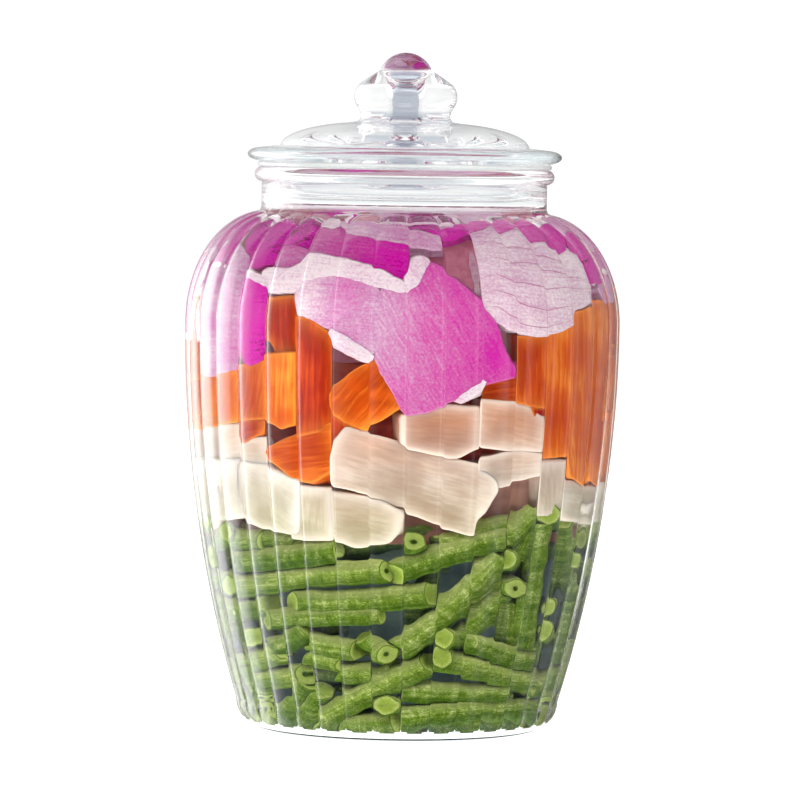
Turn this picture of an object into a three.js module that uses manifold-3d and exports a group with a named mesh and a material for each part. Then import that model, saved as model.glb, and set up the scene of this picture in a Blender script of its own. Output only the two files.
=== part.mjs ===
// A glass pickling crock: a fluted, big-bellied jar with a domed, knobbed lid on a clear sealing ring,
// packed with four layers of cut vegetables in brine.
// Millimetres, +Z up. The origin is the middle of the foot, and the side shown first faces -Y.
import * as THREE from "three";
import { mergeVertices } from "three/addons/utils/BufferGeometryUtils.js";
import Module from "manifold-3d";

const wasm = await Module();
wasm.setup();

// Crock, outside
const FOOT_RADIUS = 46.5;
const FOOT_RING_WIDTH = 7;
const FOOT_RECESS = 0.8;
const HEEL_HEIGHT = 9.5;
const BELLY_RADIUS = 75.2;
const BELLY_HEIGHT = 140;
const SIDE_CURVE_RADIUS = 450;
const SHOULDER_REACH = 28;
const SHOULDER_RISE = 38;
const NECK_RADIUS = 49.2;
const BEAD_RADIUS = 51.7;
const BEAD_HEIGHT = 5;
const RIM_HEIGHT = 193;
const RIM_CORNER = 1.2;

// Flutes: convex lobes with a crease between each two
const FLUTE_COUNT = 36;
const FLUTE_DEPTH = 1.3;
const FLUTE_PHASE = THREE.MathUtils.degToRad(1.6);
const COLUMNS_PER_FLUTE = 3;

// Crock, inside
const WALL = 3.8;
const FLOOR = 3.2;
const FLOOR_CORNER_REACH = 7.5;
const FLOOR_CORNER_RISE = 7.5;
const MOUTH_RADIUS = 45.7;

// Sealing ring between the rim and the lid
const SEAL_HEIGHT = 2;
const SEAL_OUTER = 50.8;
const SEAL_INNER = 46.2;
const SEAL_BULGE = 0.6;
const SEAL_GAP = 0.1;

// Lid: plug, flange and dome
const FLANGE_RADIUS = 54.4;
const FLANGE_EDGE = 4.7;
const FLANGE_SLOPE_RISE = 0.4;
const DOME_CENTRE = 12;
const DOME_REACH = 31;
const DOME_RISE = 8.7;
const DOME_THICKNESS = 4.5;
const PLUG_RADIUS = 44.9;
const PLUG_WIDTH = 3.6;
const PLUG_DEPTH = 4.6;

// Lid: knob, with heights above the dome
const KNOB_FOOT_RADIUS = 17;
const KNOB_WAIST_RADIUS = 15.3;
const KNOB_WAIST_HEIGHT = 2.4;
const KNOB_RADIUS = 17.8;
const KNOB_MIDDLE = 8.8;
const KNOB_ROUNDING = 6;
const KNOB_CAP_RADIUS = 9;
const KNOB_CAP_FOOT = 17.8;
const KNOB_HEIGHT = 24;
const KNOB_HOLLOW_RADIUS = 5.8;
const KNOB_HOLLOW_TOP = 14.5;
const KNOB_HOLLOW_ROUNDING = 3;
const KNOB_HOLLOW_MOUTH = 12;

// Contents: the height above the foot where each layer ends at the wall
const BEAN_TOP = 72;
const RADISH_TOP = 99;
const CARROT_TOP = 130;
const ONION_TOP = 172.5;
const BRINE_TOP = 177;
const GAP = 0.3;

// How a layer is cut into facets: rings at these shares of its radius, and side rows that crowd downwards
const RINGS = [0, 0.6];
const CLOSER_BELOW = 1.4;

const ROUND_COLUMNS = 36;
const FULL_TURN = 2 * Math.PI;
const ROUND_OFF = 1e-9;

const point = (r, z) => new THREE.Vector2(r, z);

// Points on an arc of an ellipse in the (radius, height) plane. Angles are in degrees from straight out.
function arc(centreR, centreZ, reach, rise, from, to, steps) {
  const points = [];
  for (let i = 0; i <= steps; i++) {
    const angle = THREE.MathUtils.degToRad(from + ((to - from) * i) / steps);
    points.push(point(centreR + reach * Math.cos(angle), centreZ + rise * Math.sin(angle)));
  }
  return points;
}

// A profile of (radius, height) points turned about +Z. It runs from the bottom up the outside.
function turn(profile, columns = ROUND_COLUMNS) {
  return new THREE.LatheGeometry(profile, columns).rotateX(Math.PI / 2);
}

// A turned shape whose radius and height change round the axis: rowAt gives the (radius, height) of a row
// at an angle, which starts at -Y and grows towards +X.
function turnUneven(rows, columns, rowAt) {
  const geometry = turn(Array.from({ length: rows }, (_, row) => point(1, row)), columns);
  const position = geometry.getAttribute("position");
  for (let v = 0; v < position.count; v++) {
    const column = Math.floor(v / rows) % columns;
    const angle = (column / columns) * FULL_TURN;
    const { x: r, y: z } = rowAt(v % rows, angle);
    position.setXYZ(v, r * Math.sin(angle), -r * Math.cos(angle), z);
  }
  return geometry;
}

function toSolid(geometry) {
  const bare = geometry.clone();
  bare.deleteAttribute("normal");
  bare.deleteAttribute("uv");
  const merged = mergeVertices(bare);
  const vertProperties = merged.getAttribute("position").array;
  const triVerts = new Uint32Array(merged.index.array);
  return new wasm.Manifold(new wasm.Mesh({ numProp: 3, vertProperties, triVerts }));
}

function toGeometry(solid) {
  const { vertProperties, triVerts } = solid.getMesh();
  const geometry = new THREE.BufferGeometry();
  geometry.setAttribute("position", new THREE.BufferAttribute(vertProperties, 3));
  geometry.setIndex(new THREE.BufferAttribute(triVerts, 1));
  geometry.computeVertexNormals();
  return geometry;
}

// The crock's side below the belly, one long arc. Inset 0 is the outside and WALL the inside.
function sideRadius(z, inset) {
  const curve = SIDE_CURVE_RADIUS - inset;
  const below = BELLY_HEIGHT - z;
  return BELLY_RADIUS - SIDE_CURVE_RADIUS + Math.sqrt(curve ** 2 - below ** 2);
}

function sidePoints(fromZ, inset, steps) {
  const points = [];
  for (let i = 0; i < steps; i++) {
    const z = THREE.MathUtils.lerp(fromZ, BELLY_HEIGHT, i / steps);
    points.push(point(sideRadius(z, inset), z));
  }
  return points;
}

const SHOULDER_CENTRE = BELLY_RADIUS - SHOULDER_REACH;
const SHOULDER_TOP = BELLY_HEIGHT + SHOULDER_RISE;

function shoulderPoints(inset, to, steps) {
  return arc(SHOULDER_CENTRE, BELLY_HEIGHT, SHOULDER_REACH - inset, SHOULDER_RISE - inset, 0, to, steps);
}

// The crock's outside from the foot to the top of the shoulder, which the neck then covers.
function bodyProfile() {
  const heelReach = sideRadius(HEEL_HEIGHT, 0) - FOOT_RADIUS;
  return [
    point(0, 0),
    ...arc(FOOT_RADIUS, HEEL_HEIGHT, heelReach, HEEL_HEIGHT, -90, -18, 3),
    ...sidePoints(HEEL_HEIGHT, 0, 4),
    ...shoulderPoints(0, 84, 6),
    point(0, SHOULDER_TOP),
  ];
}

// Lobes with creases between them, pressed in along the profile's own normal. They grow out of the heel
// and run over the shoulder.
function flutedBody() {
  const profile = bodyProfile();
  const last = profile.length - 1;
  const depth = profile.map((p, i) => {
    if (i === last) return 0;
    return FLUTE_DEPTH * THREE.MathUtils.smoothstep(p.y, 0, HEEL_HEIGHT) * (p.x / BELLY_RADIUS);
  });
  const normal = profile.map((_, i) => {
    const along = profile[Math.min(i + 1, last)].clone().sub(profile[Math.max(i - 1, 0)]);
    return point(along.y, -along.x).normalize();
  });
  const columns = FLUTE_COUNT * COLUMNS_PER_FLUTE;
  const geometry = turnUneven(profile.length, columns, (row, angle) => {
    const lobes = (angle / FULL_TURN) * FLUTE_COUNT;
    const acrossLobe = 2 * (lobes - Math.floor(lobes + ROUND_OFF)) - 1;
    return profile[row].clone().addScaledVector(normal[row], -depth[row] * acrossLobe ** 2);
  });
  return geometry.rotateZ(FLUTE_PHASE);
}

// Neck and rounded bead, from inside the shoulder to the flat rim.
function neck() {
  const root = BELLY_HEIGHT + SHOULDER_RISE / 2;
  const beadMiddle = RIM_HEIGHT - BEAD_HEIGHT / 2;
  return turn([
    point(0, root),
    point(NECK_RADIUS, root),
    ...arc(NECK_RADIUS, beadMiddle, BEAD_RADIUS - NECK_RADIUS, BEAD_HEIGHT / 2, -90, 30, 4),
    point(BEAD_RADIUS - RIM_CORNER, RIM_HEIGHT),
    point(0, RIM_HEIGHT),
  ]);
}

// The crock's inside, from the middle of the floor to the foot of the neck.
function insideProfile() {
  const cornerTop = FLOOR + FLOOR_CORNER_RISE;
  const floorRadius = sideRadius(cornerTop, WALL) - FLOOR_CORNER_REACH;
  return [
    point(0, FLOOR),
    ...arc(floorRadius, cornerTop, FLOOR_CORNER_REACH, FLOOR_CORNER_RISE, -90, -22, 3),
    ...sidePoints(cornerTop, WALL, 4),
    ...shoulderPoints(WALL, 90, 6),
  ];
}

function hollow() {
  const above = RIM_HEIGHT + BEAD_HEIGHT;
  const neckFoot = SHOULDER_TOP - WALL + SHOULDER_CENTRE - MOUTH_RADIUS;
  const mouth = [point(MOUTH_RADIUS, neckFoot), point(MOUTH_RADIUS, above), point(0, above)];
  return turn([...insideProfile(), ...mouth]);
}

function footRecess() {
  const recessRadius = FOOT_RADIUS - FOOT_RING_WIDTH;
  return turn([
    point(0, -FOOT_RECESS),
    point(recessRadius + FOOT_RECESS, -FOOT_RECESS),
    point(recessRadius - FOOT_RECESS, FOOT_RECESS),
    point(0, FOOT_RECESS),
  ]);
}

function crock() {
  const outside = toSolid(flutedBody()).add(toSolid(neck()));
  return toGeometry(outside.subtract(toSolid(hollow())).subtract(toSolid(footRecess())));
}

// A clear band with a slightly rounded edge, lying on the rim.
function sealRing() {
  const bottom = RIM_HEIGHT + SEAL_GAP;
  const top = RIM_HEIGHT + SEAL_HEIGHT - SEAL_GAP;
  return turn([
    point(SEAL_INNER, bottom),
    point(SEAL_OUTER - SEAL_BULGE, bottom),
    point(SEAL_OUTER, (bottom + top) / 2),
    point(SEAL_OUTER - SEAL_BULGE, top),
    point(SEAL_INNER, top),
    point(SEAL_INNER, bottom),
  ]);
}

// The knob's side and cap, above a dome of the given height. The cap is part of a sphere.
function knobPoints(domeTop) {
  const capFoot = domeTop + KNOB_CAP_FOOT;
  const capRise = KNOB_HEIGHT - KNOB_CAP_FOOT;
  const capSphere = (capRise ** 2 + KNOB_CAP_RADIUS ** 2) / (2 * capRise);
  const capStart = THREE.MathUtils.radToDeg(Math.acos(KNOB_CAP_RADIUS / capSphere));
  const capCentre = domeTop + KNOB_HEIGHT - capSphere;
  const middle = domeTop + KNOB_MIDDLE;
  return [
    point(KNOB_FOOT_RADIUS, domeTop),
    point(KNOB_WAIST_RADIUS, domeTop + KNOB_WAIST_HEIGHT),
    ...arc(KNOB_RADIUS - KNOB_ROUNDING, middle, KNOB_ROUNDING, KNOB_ROUNDING, -38, 45, 3),
    point(KNOB_CAP_RADIUS, capFoot),
    ...arc(0, capCentre, capSphere, capSphere, capStart, 90, 3).slice(1),
  ];
}

// The lid's underside from the top of the knob's hollow to the plug, under a dome of the given height.
function underLid(domeTop, flangeBottom) {
  const reach = PLUG_RADIUS - PLUG_WIDTH;
  const rise = domeTop - DOME_THICKNESS - flangeBottom;
  const mouthAngle = Math.acos(KNOB_HOLLOW_MOUTH / reach);
  const mouth = flangeBottom + rise * Math.sin(mouthAngle);
  const flare = KNOB_HOLLOW_MOUTH - KNOB_HOLLOW_RADIUS;
  const hollowTop = domeTop + KNOB_HOLLOW_TOP - KNOB_HOLLOW_ROUNDING;
  return [
    ...arc(0, hollowTop, KNOB_HOLLOW_RADIUS, KNOB_HOLLOW_ROUNDING, 90, 0, 3),
    ...arc(KNOB_HOLLOW_MOUTH, mouth + flare, flare, flare, 180, 255, 3),
    ...arc(0, flangeBottom, reach, rise, THREE.MathUtils.radToDeg(mouthAngle) - 3, 0, 3),
  ];
}

// The lid in one piece of glass: a plug that centres it in the mouth, a flange, a dome and a hollow knob.
function lid() {
  const flangeBottom = RIM_HEIGHT + SEAL_HEIGHT;
  const edge = FLANGE_EDGE / 2;
  const domeFoot = flangeBottom + FLANGE_EDGE + FLANGE_SLOPE_RISE;
  const domeTop = domeFoot + DOME_RISE;
  const plugRound = PLUG_WIDTH / 2;
  const plugMiddle = PLUG_RADIUS - plugRound;
  const plugFoot = flangeBottom - PLUG_DEPTH + plugRound;
  return turn([
    ...underLid(domeTop, flangeBottom),
    ...arc(plugMiddle, plugFoot, plugRound, plugRound, -180, 0, 3),
    point(PLUG_RADIUS, flangeBottom),
    ...arc(FLANGE_RADIUS - edge, flangeBottom + edge, edge, edge, -90, 80, 3),
    ...arc(DOME_CENTRE, domeFoot, DOME_REACH, DOME_RISE, 0, 72, 4),
    ...knobPoints(domeTop),
  ]);
}

// How wide the inside is at a height, on the same straight facets as the hollow itself.
function insideRadius(z) {
  const profile = insideProfile();
  const upper = profile.findIndex((p) => p.y >= z);
  const [a, b] = [profile[upper - 1], profile[upper]];
  return THREE.MathUtils.lerp(a.x, b.x, (z - a.y) / (b.y - a.y));
}

// The uneven top of a layer: its level at the wall, how far its middle is crowned, and its waves, each as
// [how many round the crock, height at the belly, turn].
function heapTop(level, crown, waves) {
  const heightAt = (r, angle) => {
    const share = r / BELLY_RADIUS;
    const swells = waves.map(([count, height, turned]) => height * Math.cos(count * angle + turned));
    return level + crown * (1 - share ** 2) + share * swells.reduce((sum, swell) => sum + swell, 0);
  };
  return { level, heightAt };
}

const beanTop = heapTop(BEAN_TOP, 3, [[2, 3, 0.6], [5, 1.8, 2.1], [8, 1.2, 0.4]]);
const radishTop = heapTop(RADISH_TOP, 2, [[2, 5, 2.4], [3, 3.5, 1], [7, 2, 2.9]]);
const carrotTop = heapTop(CARROT_TOP, 2, [[1, 3, 2.6], [3, 6, 3], [8, 2.2, 1.2]]);
const onionTop = heapTop(ONION_TOP, 0, [[3, 0.8, 0.8], [7, 0.7, 2]]);
const crockFloor = heapTop(FLOOR, 0, []);
const brineTop = heapTop(BRINE_TOP - GAP, 0, []);

const wallRadius = (z) => insideRadius(z) - GAP;
const neckRadius = () => MOUTH_RADIUS - GAP;

// One layer of the contents, between two uneven surfaces and out to the crock's wall.
function layer(lower, upper, radiusAt, sideSteps) {
  const sideRows = sideSteps + 1;
  const rows = 2 * RINGS.length + sideRows;
  const rimHeight = (surface, angle) => surface.heightAt(radiusAt(surface.level + GAP), angle);
  const onSurface = (surface, share, angle) => {
    const r = share * radiusAt(rimHeight(surface, angle) + GAP);
    return point(r, surface.heightAt(r, angle));
  };
  return turnUneven(rows, ROUND_COLUMNS, (row, angle) => {
    if (row < RINGS.length) return onSurface(lower, RINGS[row], angle).add(point(0, GAP));
    if (row >= RINGS.length + sideRows) return onSurface(upper, RINGS[rows - 1 - row], angle);
    const climb = ((row - RINGS.length) / sideSteps) ** CLOSER_BELOW;
    const z = THREE.MathUtils.lerp(rimHeight(lower, angle) + GAP, rimHeight(upper, angle), climb);
    return point(radiusAt(z), z);
  });
}

const GLASS = { color: 0xeef4f3, roughness: 0.05, metalness: 0, transparent: true, opacity: 0.35 };
const CLEAR_RUBBER = { color: 0xe9e9e6, roughness: 0.35, metalness: 0, transparent: true, opacity: 0.6 };
const BRINE = { color: 0xf0e4e6, roughness: 0.05, metalness: 0, transparent: true, opacity: 0.3 };
const vegetable = (color) => ({ color, roughness: 0.45, metalness: 0 });

const filledCrock = new THREE.Group();

function place(name, geometry, look) {
  const mesh = new THREE.Mesh(geometry, new THREE.MeshStandardMaterial(look));
  mesh.name = name;
  filledCrock.add(mesh);
}

place("crock", crock(), GLASS);
place("seal_ring", sealRing(), CLEAR_RUBBER);
place("lid", lid(), GLASS);
place("bean_layer", layer(crockFloor, beanTop, wallRadius, 4), vegetable(0x7f9c3c));
place("radish_layer", layer(beanTop, radishTop, wallRadius, 3), vegetable(0xd9c9b6));
place("carrot_layer", layer(radishTop, carrotTop, wallRadius, 3), vegetable(0xe5601b));
place("onion_layer", layer(carrotTop, onionTop, wallRadius, 5), vegetable(0xc0409f));
place("brine", layer(onionTop, brineTop, neckRadius, 2), BRINE);

export default filledCrock;
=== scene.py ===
"""Looks of a fluted glass pickling crock, packed with cut vegetables in brine.

Metres in Blender; sizes here are in millimetres and are scaled when a mesh is made. +Z is up, and the side
shown first faces -Y. Angles round the crock start there and grow towards +X.
"""
import math

import bmesh
import bpy
import numpy as np
from mathutils import Matrix, Vector, noise
from mathutils.geometry import delaunay_2d_cdt


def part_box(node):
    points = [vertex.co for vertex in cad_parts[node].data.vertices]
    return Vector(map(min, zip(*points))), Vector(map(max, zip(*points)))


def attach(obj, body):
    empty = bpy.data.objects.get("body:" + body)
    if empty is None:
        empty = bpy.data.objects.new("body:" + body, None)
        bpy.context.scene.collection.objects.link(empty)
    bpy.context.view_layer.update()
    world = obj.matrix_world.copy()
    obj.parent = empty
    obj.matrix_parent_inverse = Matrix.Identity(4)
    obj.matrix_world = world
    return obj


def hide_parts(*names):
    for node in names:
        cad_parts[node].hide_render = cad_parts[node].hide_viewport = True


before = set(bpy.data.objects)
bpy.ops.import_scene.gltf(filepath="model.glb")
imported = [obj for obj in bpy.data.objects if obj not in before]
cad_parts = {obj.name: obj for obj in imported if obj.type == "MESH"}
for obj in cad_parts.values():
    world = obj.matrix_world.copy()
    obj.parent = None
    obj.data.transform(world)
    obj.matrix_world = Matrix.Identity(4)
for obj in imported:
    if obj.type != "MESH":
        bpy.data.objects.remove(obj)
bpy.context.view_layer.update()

MM = 0.001
ROUND_COLUMNS = 144

# Crock, as in the imported solid; the foot's dark line, painted shadow where it stands, and its whitish band
# with scallops, painted light from the table, are only looks
BELLY_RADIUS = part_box("crock")[1].x / MM
RIM_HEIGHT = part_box("crock")[1].z / MM
LID_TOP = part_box("lid")[1].z / MM
BRINE_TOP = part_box("brine")[1].z / MM
FOOT_RADIUS = 46.5
FOOT_RING_WIDTH = 7.0
FOOT_RECESS = 0.8
FOOT_SHADOW_LINE = 0.8
FOOT_LIT_BAND = 2.8
FOOT_SCALLOP = 1.3
HEEL_HEIGHT = 9.5
BELLY_HEIGHT = 140.0
SIDE_CURVE_RADIUS = 450.0
SHOULDER_REACH = 28.0
SHOULDER_RISE = 38.0
NECK_RADIUS = 49.2
NECK_FILLET = 1.2
BEAD_RADIUS = 51.7
BEAD_HEIGHT = 5.0
RIM_ROUNDING = 1.0
FLUTE_COUNT = 36
FLUTE_DEPTH = 1.3
FLUTE_PHASE = math.radians(1.6)
FLUTE_FOOT = 0.4
FLUTE_FADE = 8.0
CREASE = 0.08
LOBE_POWER = 4.0
WALL = 3.8
FLOOR = 3.2
FLOOR_CORNER_REACH = 7.5
FLOOR_CORNER_RISE = 7.5
MOUTH_RADIUS = 45.7
SHOULDER_CENTRE = BELLY_RADIUS - SHOULDER_REACH
SHOULDER_TOP = BELLY_HEIGHT + SHOULDER_RISE

# Lid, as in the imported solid, with a finer edge and hollow
FLANGE_BOTTOM = RIM_HEIGHT + 2.0
FLANGE_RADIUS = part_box("lid")[1].x / MM
FLANGE_EDGE = 4.7
FLANGE_TAPER = 2.2
FLANGE_SLOPE_RISE = 0.4
DOME_CENTRE = 12.0
DOME_REACH = 31.0
DOME_RISE = 8.7
DOME_THICKNESS = 4.5
PLUG_RADIUS = 44.9
PLUG_WIDTH = 3.6
PLUG_DEPTH = 4.6
KNOB_FOOT_RADIUS = 17.0
KNOB_WAIST_RADIUS = 15.3
KNOB_WAIST_HEIGHT = 2.4
KNOB_RADIUS = 17.8
KNOB_MIDDLE = 8.8
KNOB_ROUNDING = 6.0
KNOB_CAP_RADIUS = 9.0
KNOB_CAP_FOOT = 17.8
KNOB_CAP_TINT = 5.0
KNOB_HOLLOW_RADIUS = 5.8
KNOB_HOLLOW_TOP = 14.5
KNOB_HOLLOW_ROUNDING = 3.0
KNOB_HOLLOW_MOUTH = 12.0
KNOB_HOLLOW_WAIST = 1.3
LID_TINTS = (
    ("edge_glass", (0.87, 0.955, 0.95, 1)),
    # The knob's hollow: a dark blue-grey tint of painted shade
    ("painted_shade_hollow_glass", (0.5, 0.53, 0.6, 1)),
    ("cap_glass", (0.7, 0.6, 0.74, 1)),
)

# Sealing ring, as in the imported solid
RING_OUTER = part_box("seal_ring")[1].x / MM
RING_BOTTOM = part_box("seal_ring")[0].z / MM
RING_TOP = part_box("seal_ring")[1].z / MM
RING_WIDTH = 4.6

# Camera: a long lens almost level with the crock, which leans very slightly in the picture
IMAGE_SIZE = 800
CAMERA_DISTANCE = 2000.0
CAMERA_HEIGHT = 217.0
CAMERA_AIM = (-0.4, 0.0, 113.0)
CAMERA_ROLL = math.radians(0.87)
VIEW_WIDTH = 276.0
SENSOR_WIDTH = 36.0

# Soft panels of light: name, place and aim in metres, width, height and watts
LAMPS = (
    ("key_panel", (-0.45, -1.35, 1.1), (0, 0, 0.07), 1.0, 1.0, 27.0),
    ("fill_panel", (1.4, -1.2, 0.2), (0, 0, 0.05), 1.4, 0.6, 18.0),
    ("left_fill", (-1.4, -0.8, 0.2), (0, 0, 0.05), 1.0, 0.6, 10.0),
    ("back_panel", (0.5, 1.4, 1.0), (0, 0, 0.08), 1.4, 1.0, 40.0),
    ("table_light", (-0.1, -0.5, -0.5), (0, 0, 0.03), 0.8, 0.8, 23.0),
)
# The room that the glass mirrors: places once round it, starting behind the crock, and how bright they are
ROOM_PANELS = (
    (0.0, 0.05), (0.06, 0.15), (0.12, 0.65), (0.18, 0.85), (0.23, 0.4), (0.27, 0.1), (0.34, 0.1),
    (0.39, 0.05), (0.44, 0.01), (0.63, 0.01), (0.67, 0.16), (0.71, 0.01), (0.78, 0.02), (0.84, 0.08),
    (0.9, 0.04),
)
ROOM_STRENGTH = 8.0

# Refraction
GLASS_IOR = 1.5
BRINE_IOR = 1.33

# Vegetables
CLEARANCE = 0.2
STANDOFF = 0.7
SHOULDER_MEAN = 30.0
FRONT_EDGE = math.radians(72)
BEAN_THICKNESS = 8.0
BEAN_SIDES = 18
BEAN_STEP = 1.9
BEAN_LENGTHS = (18.0, 46.0)
BEAN_ENDS = (9.0, 20.0)
WALL_HUG = 0.85
BEAN_TOP = 70.0
RADISH_TOP = 99.0
CARROT_TOP = 131.0
BEAN_TOPS = (74.0, 74.0)
RADISH_TOPS = (88.0, 107.0)
CARROT_TOPS = (149.0, 126.0)
LAYER_WAVE = 12.0
BAR_SHARES = (0.58, 0.8)
BAR_SIZES = (5.0, 13.0)
BAR_DEPTHS = (0.4, 4.5)
RADISH_BEVEL = 1.0
CARROT_BEVEL = 0.45
CHUNK_STEP = 2.2
PETAL_COLUMNS = 20
PETAL_ROWS = 14
PETAL_STEP = 3.0
LOOSE_ROWS = ((5.0, 11), (20.0, 11), (36.0, 10), (48.0, 9))
TOP_PETALS = 16
PIXEL = VIEW_WIDTH / IMAGE_SIZE
CORE_INSET = 10.0
CORE_PAINTED_EMISSION = 0.15
BEAN_SEED = 11
FILLER_SEED = 12
RADISH_SEED = 23
CARROT_SEED = 37
ONION_SEED = 53
LUMP_SEED = 1
# Without a seed, Blender's vector noise starts from the clock, and the lumps differ from run to run
noise.seed_set(LUMP_SEED)

# Cut beans that the photograph shows, as pixels of both ends, then depth behind the wall, sideways bend and
# thickness in mm
FRONT_BEANS = [
    (235, 559, 337, 549, 0.5, 1.0, 8.6),
    (229, 588, 388, 571, 0.5, -1.0, 8.0),
    (292, 603, 429, 594, 0.8, 0.8, 8.2),
    (267, 620, 383, 615, 0.5, -0.6, 7.8),
    (393, 574, 507, 537, 0.5, -1.2, 8.6),
    (432, 548, 508, 522, 3.5, 0.6, 7.6),
    (398, 652, 499, 556, 0.3, 1.5, 9.2),
    (452, 642, 504, 590, 2.2, 0.8, 8.6),
    (541, 524, 523, 648, 0.4, 1.2, 9.4),
    (563, 520, 573, 600, 0.8, 1.5, 8.6),
    (462, 639, 535, 662, 1.2, 0.5, 7.8),
    (438, 660, 536, 686, 0.5, -1.0, 7.8),
    (318, 724, 428, 664, 0.3, -1.5, 8.8),
    (400, 691, 512, 693, 2.0, 0.4, 7.8),
    (397, 720, 535, 711, 0.4, -1.2, 9.0),
    (338, 726, 398, 722, 1.2, 0.5, 8.0),
    (304, 639, 357, 650, 0.6, 0.6, 7.6),
    (304, 655, 340, 664, 1.0, -0.4, 7.2),
    (334, 670, 370, 673, 2.2, 0.3, 7.6),
    (362, 636, 390, 657, 1.0, 0.3, 7.4),
    (272, 648, 306, 630, 0.8, 0.4, 7.6),
    (228, 672, 284, 651, 0.5, -0.6, 8.2),
    (250, 676, 306, 674, 1.6, 0.6, 7.8),
    (206, 572, 230, 586, 0.8, 0.4, 8.0),
    (212, 596, 238, 612, 0.8, 0.3, 8.0),
    (228, 640, 224, 600, 1.2, 0.8, 8.4),
    (262, 700, 246, 664, 0.8, 0.6, 8.4),
    (282, 720, 306, 682, 1.4, 0.5, 8.2),
    (300, 726, 322, 690, 1.8, 0.4, 8.0),
    (528, 690, 560, 668, 1.2, 0.6, 8.0),
    (548, 700, 572, 640, 0.8, 0.5, 8.4),
    (570, 600, 556, 664, 1.0, 0.6, 8.4),
    (340, 690, 384, 700, 4.0, 0.3, 8.0),
    (455, 612, 500, 574, 5.0, 0.5, 8.0),
    (503, 668, 512, 596, 5.0, 0.5, 8.6),
    (505, 660, 540, 640, 4.0, 0.5, 8.0),
    (230, 612, 268, 604, 3.0, 0.4, 8.0),
    (218, 538, 266, 541, 2.0, 0.4, 8.0),
    (262, 536, 300, 545, 4.0, 0.4, 8.0),
    (506, 540, 534, 512, 1.6, 0.4, 8.0),
    (512, 560, 528, 520, 3.0, 0.4, 8.4),
    (368, 690, 398, 668, 3.2, 0.4, 8.0),
]
# Cut ends that face the wall: pixel, depth, and where the bean runs to behind it (pixels aside and down)
FACING_BEANS = [
    (415, 541, 1.2, -6, 14),
    (515, 588, 0.8, -14, -10),
    (226, 530, 1.0, 10, 10),
    (250, 637, 1.0, -10, 8),
    (445, 639, 0.6, 22, 4),
    (387, 655, 0.4, -16, -10),
    (545, 630, 1.0, 8, 8),
    (548, 607, 1.4, 8, -8),
    (387, 705, 0.8, 18, 4),
    (550, 514, 1.6, 8, 12),
    (508, 560, 2.5, 10, 12),
    (441, 658, 0.3, 14, 4),
    (212, 556, 1.0, -8, 10),
    (575, 560, 1.2, 10, 8),
    (578, 628, 1.0, 6, 12),
    (236, 690, 1.2, 8, 6),
]

# White radish: outlines in pixels, depth behind the wall in mm, and how white the piece is
FRONT_RADISH = [
    ([(347, 427), (390, 441), (440, 457), (475, 466), (495, 480), (498, 490), (485, 510), (475, 525),
     (471, 536), (440, 526), (401, 507), (358, 492), (329, 485), (328, 455)], 0.5, 0.1),
    ([(402, 416), (440, 407), (478, 408), (477, 447), (457, 458), (441, 455), (402, 446)], 1.6, 0.0),
    ([(480, 400), (516, 404), (534, 409), (543, 422), (541, 450), (512, 449), (479, 446)], 0.8, 0.3),
    ([(479, 461), (511, 452), (540, 453), (537, 475), (512, 481), (500, 487), (488, 477), (479, 470)],
     0.8, 0.3),
    ([(329, 491), (358, 497), (384, 505), (399, 513), (397, 530), (387, 542), (356, 547), (330, 536)],
     1.6, 0.45),
    ([(290, 486), (328, 490), (329, 540), (292, 538)], 1.2, 0.6),
    ([(236, 462), (262, 467), (297, 483), (293, 534), (264, 529), (238, 516)], 0.7, 1.0),
    ([(215, 461), (236, 461), (238, 517), (217, 520)], 0.8, 1.0),
    ([(193, 460), (214, 461), (216, 520), (199, 520)], 0.8, 0.9),
    ([(237, 439), (262, 439), (264, 466), (237, 461)], 1.4, 0.8),
    ([(213, 427), (234, 425), (236, 461), (214, 460)], 1.2, 0.85),
    ([(189, 431), (212, 427), (213, 460), (192, 460)], 1.2, 0.8),
    ([(541, 464), (565, 462), (564, 512), (541, 516)], 1.4, 0.3),
    ([(567, 480), (596, 488), (592, 522), (566, 518)], 0.9, 0.5),
    ([(598, 490), (604, 484), (599, 518), (594, 522)], 1.0, 0.6),
]

# Carrot: outlines in pixels, depth behind the wall in mm, and how light the piece is
FRONT_CARROT = [
    ([(294, 317), (311, 319), (326, 334), (330, 346), (330, 428), (295, 437)], 0.8, 0.06),
    ([(263, 452), (290, 436), (328, 423), (330, 470), (312, 482), (293, 478)], 0.5, 0.35),
    ([(261, 356), (291, 354), (292, 424), (280, 428), (269, 420), (261, 418)], 0.6, 0.82),
    ([(234, 368), (260, 361), (261, 418), (234, 420)], 0.9, 0.3),
    ([(211, 375), (233, 369), (233, 421), (211, 425)], 0.7, 0.85),
    ([(187, 381), (210, 375), (210, 425), (187, 429)], 0.8, 0.75),
    ([(328, 394), (350, 374), (367, 362), (383, 357), (400, 407), (363, 430), (345, 422), (328, 406)],
     1.4, 0.5),
    ([(270, 300), (293, 296), (293, 352), (276, 352), (268, 330)], 2.6, 0.08),
    ([(235, 422), (260, 420), (258, 434), (246, 442), (236, 436)], 1.4, 0.12),
    ([(330, 410), (344, 424), (360, 432), (347, 428), (332, 452)], 2.0, 0.1),
    ([(517, 338), (545, 337), (546, 408), (530, 405), (518, 400)], 1.0, 0.3),
    ([(547, 337), (572, 325), (570, 455), (546, 458)], 0.6, 0.68),
    ([(573, 317), (592, 308), (590, 478), (582, 485), (571, 476)], 0.6, 0.76),
    ([(594, 300), (613, 306), (606, 468), (597, 487), (591, 479)], 0.7, 0.66),
    ([(532, 408), (545, 408), (541, 423), (536, 421)], 1.2, 0.0),
    ([(482, 384), (516, 372), (516, 402), (482, 400)], 3.0, 0.25),
    ([(186, 304), (197, 296), (199, 376), (187, 379)], 0.9, 0.7),
]

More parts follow.
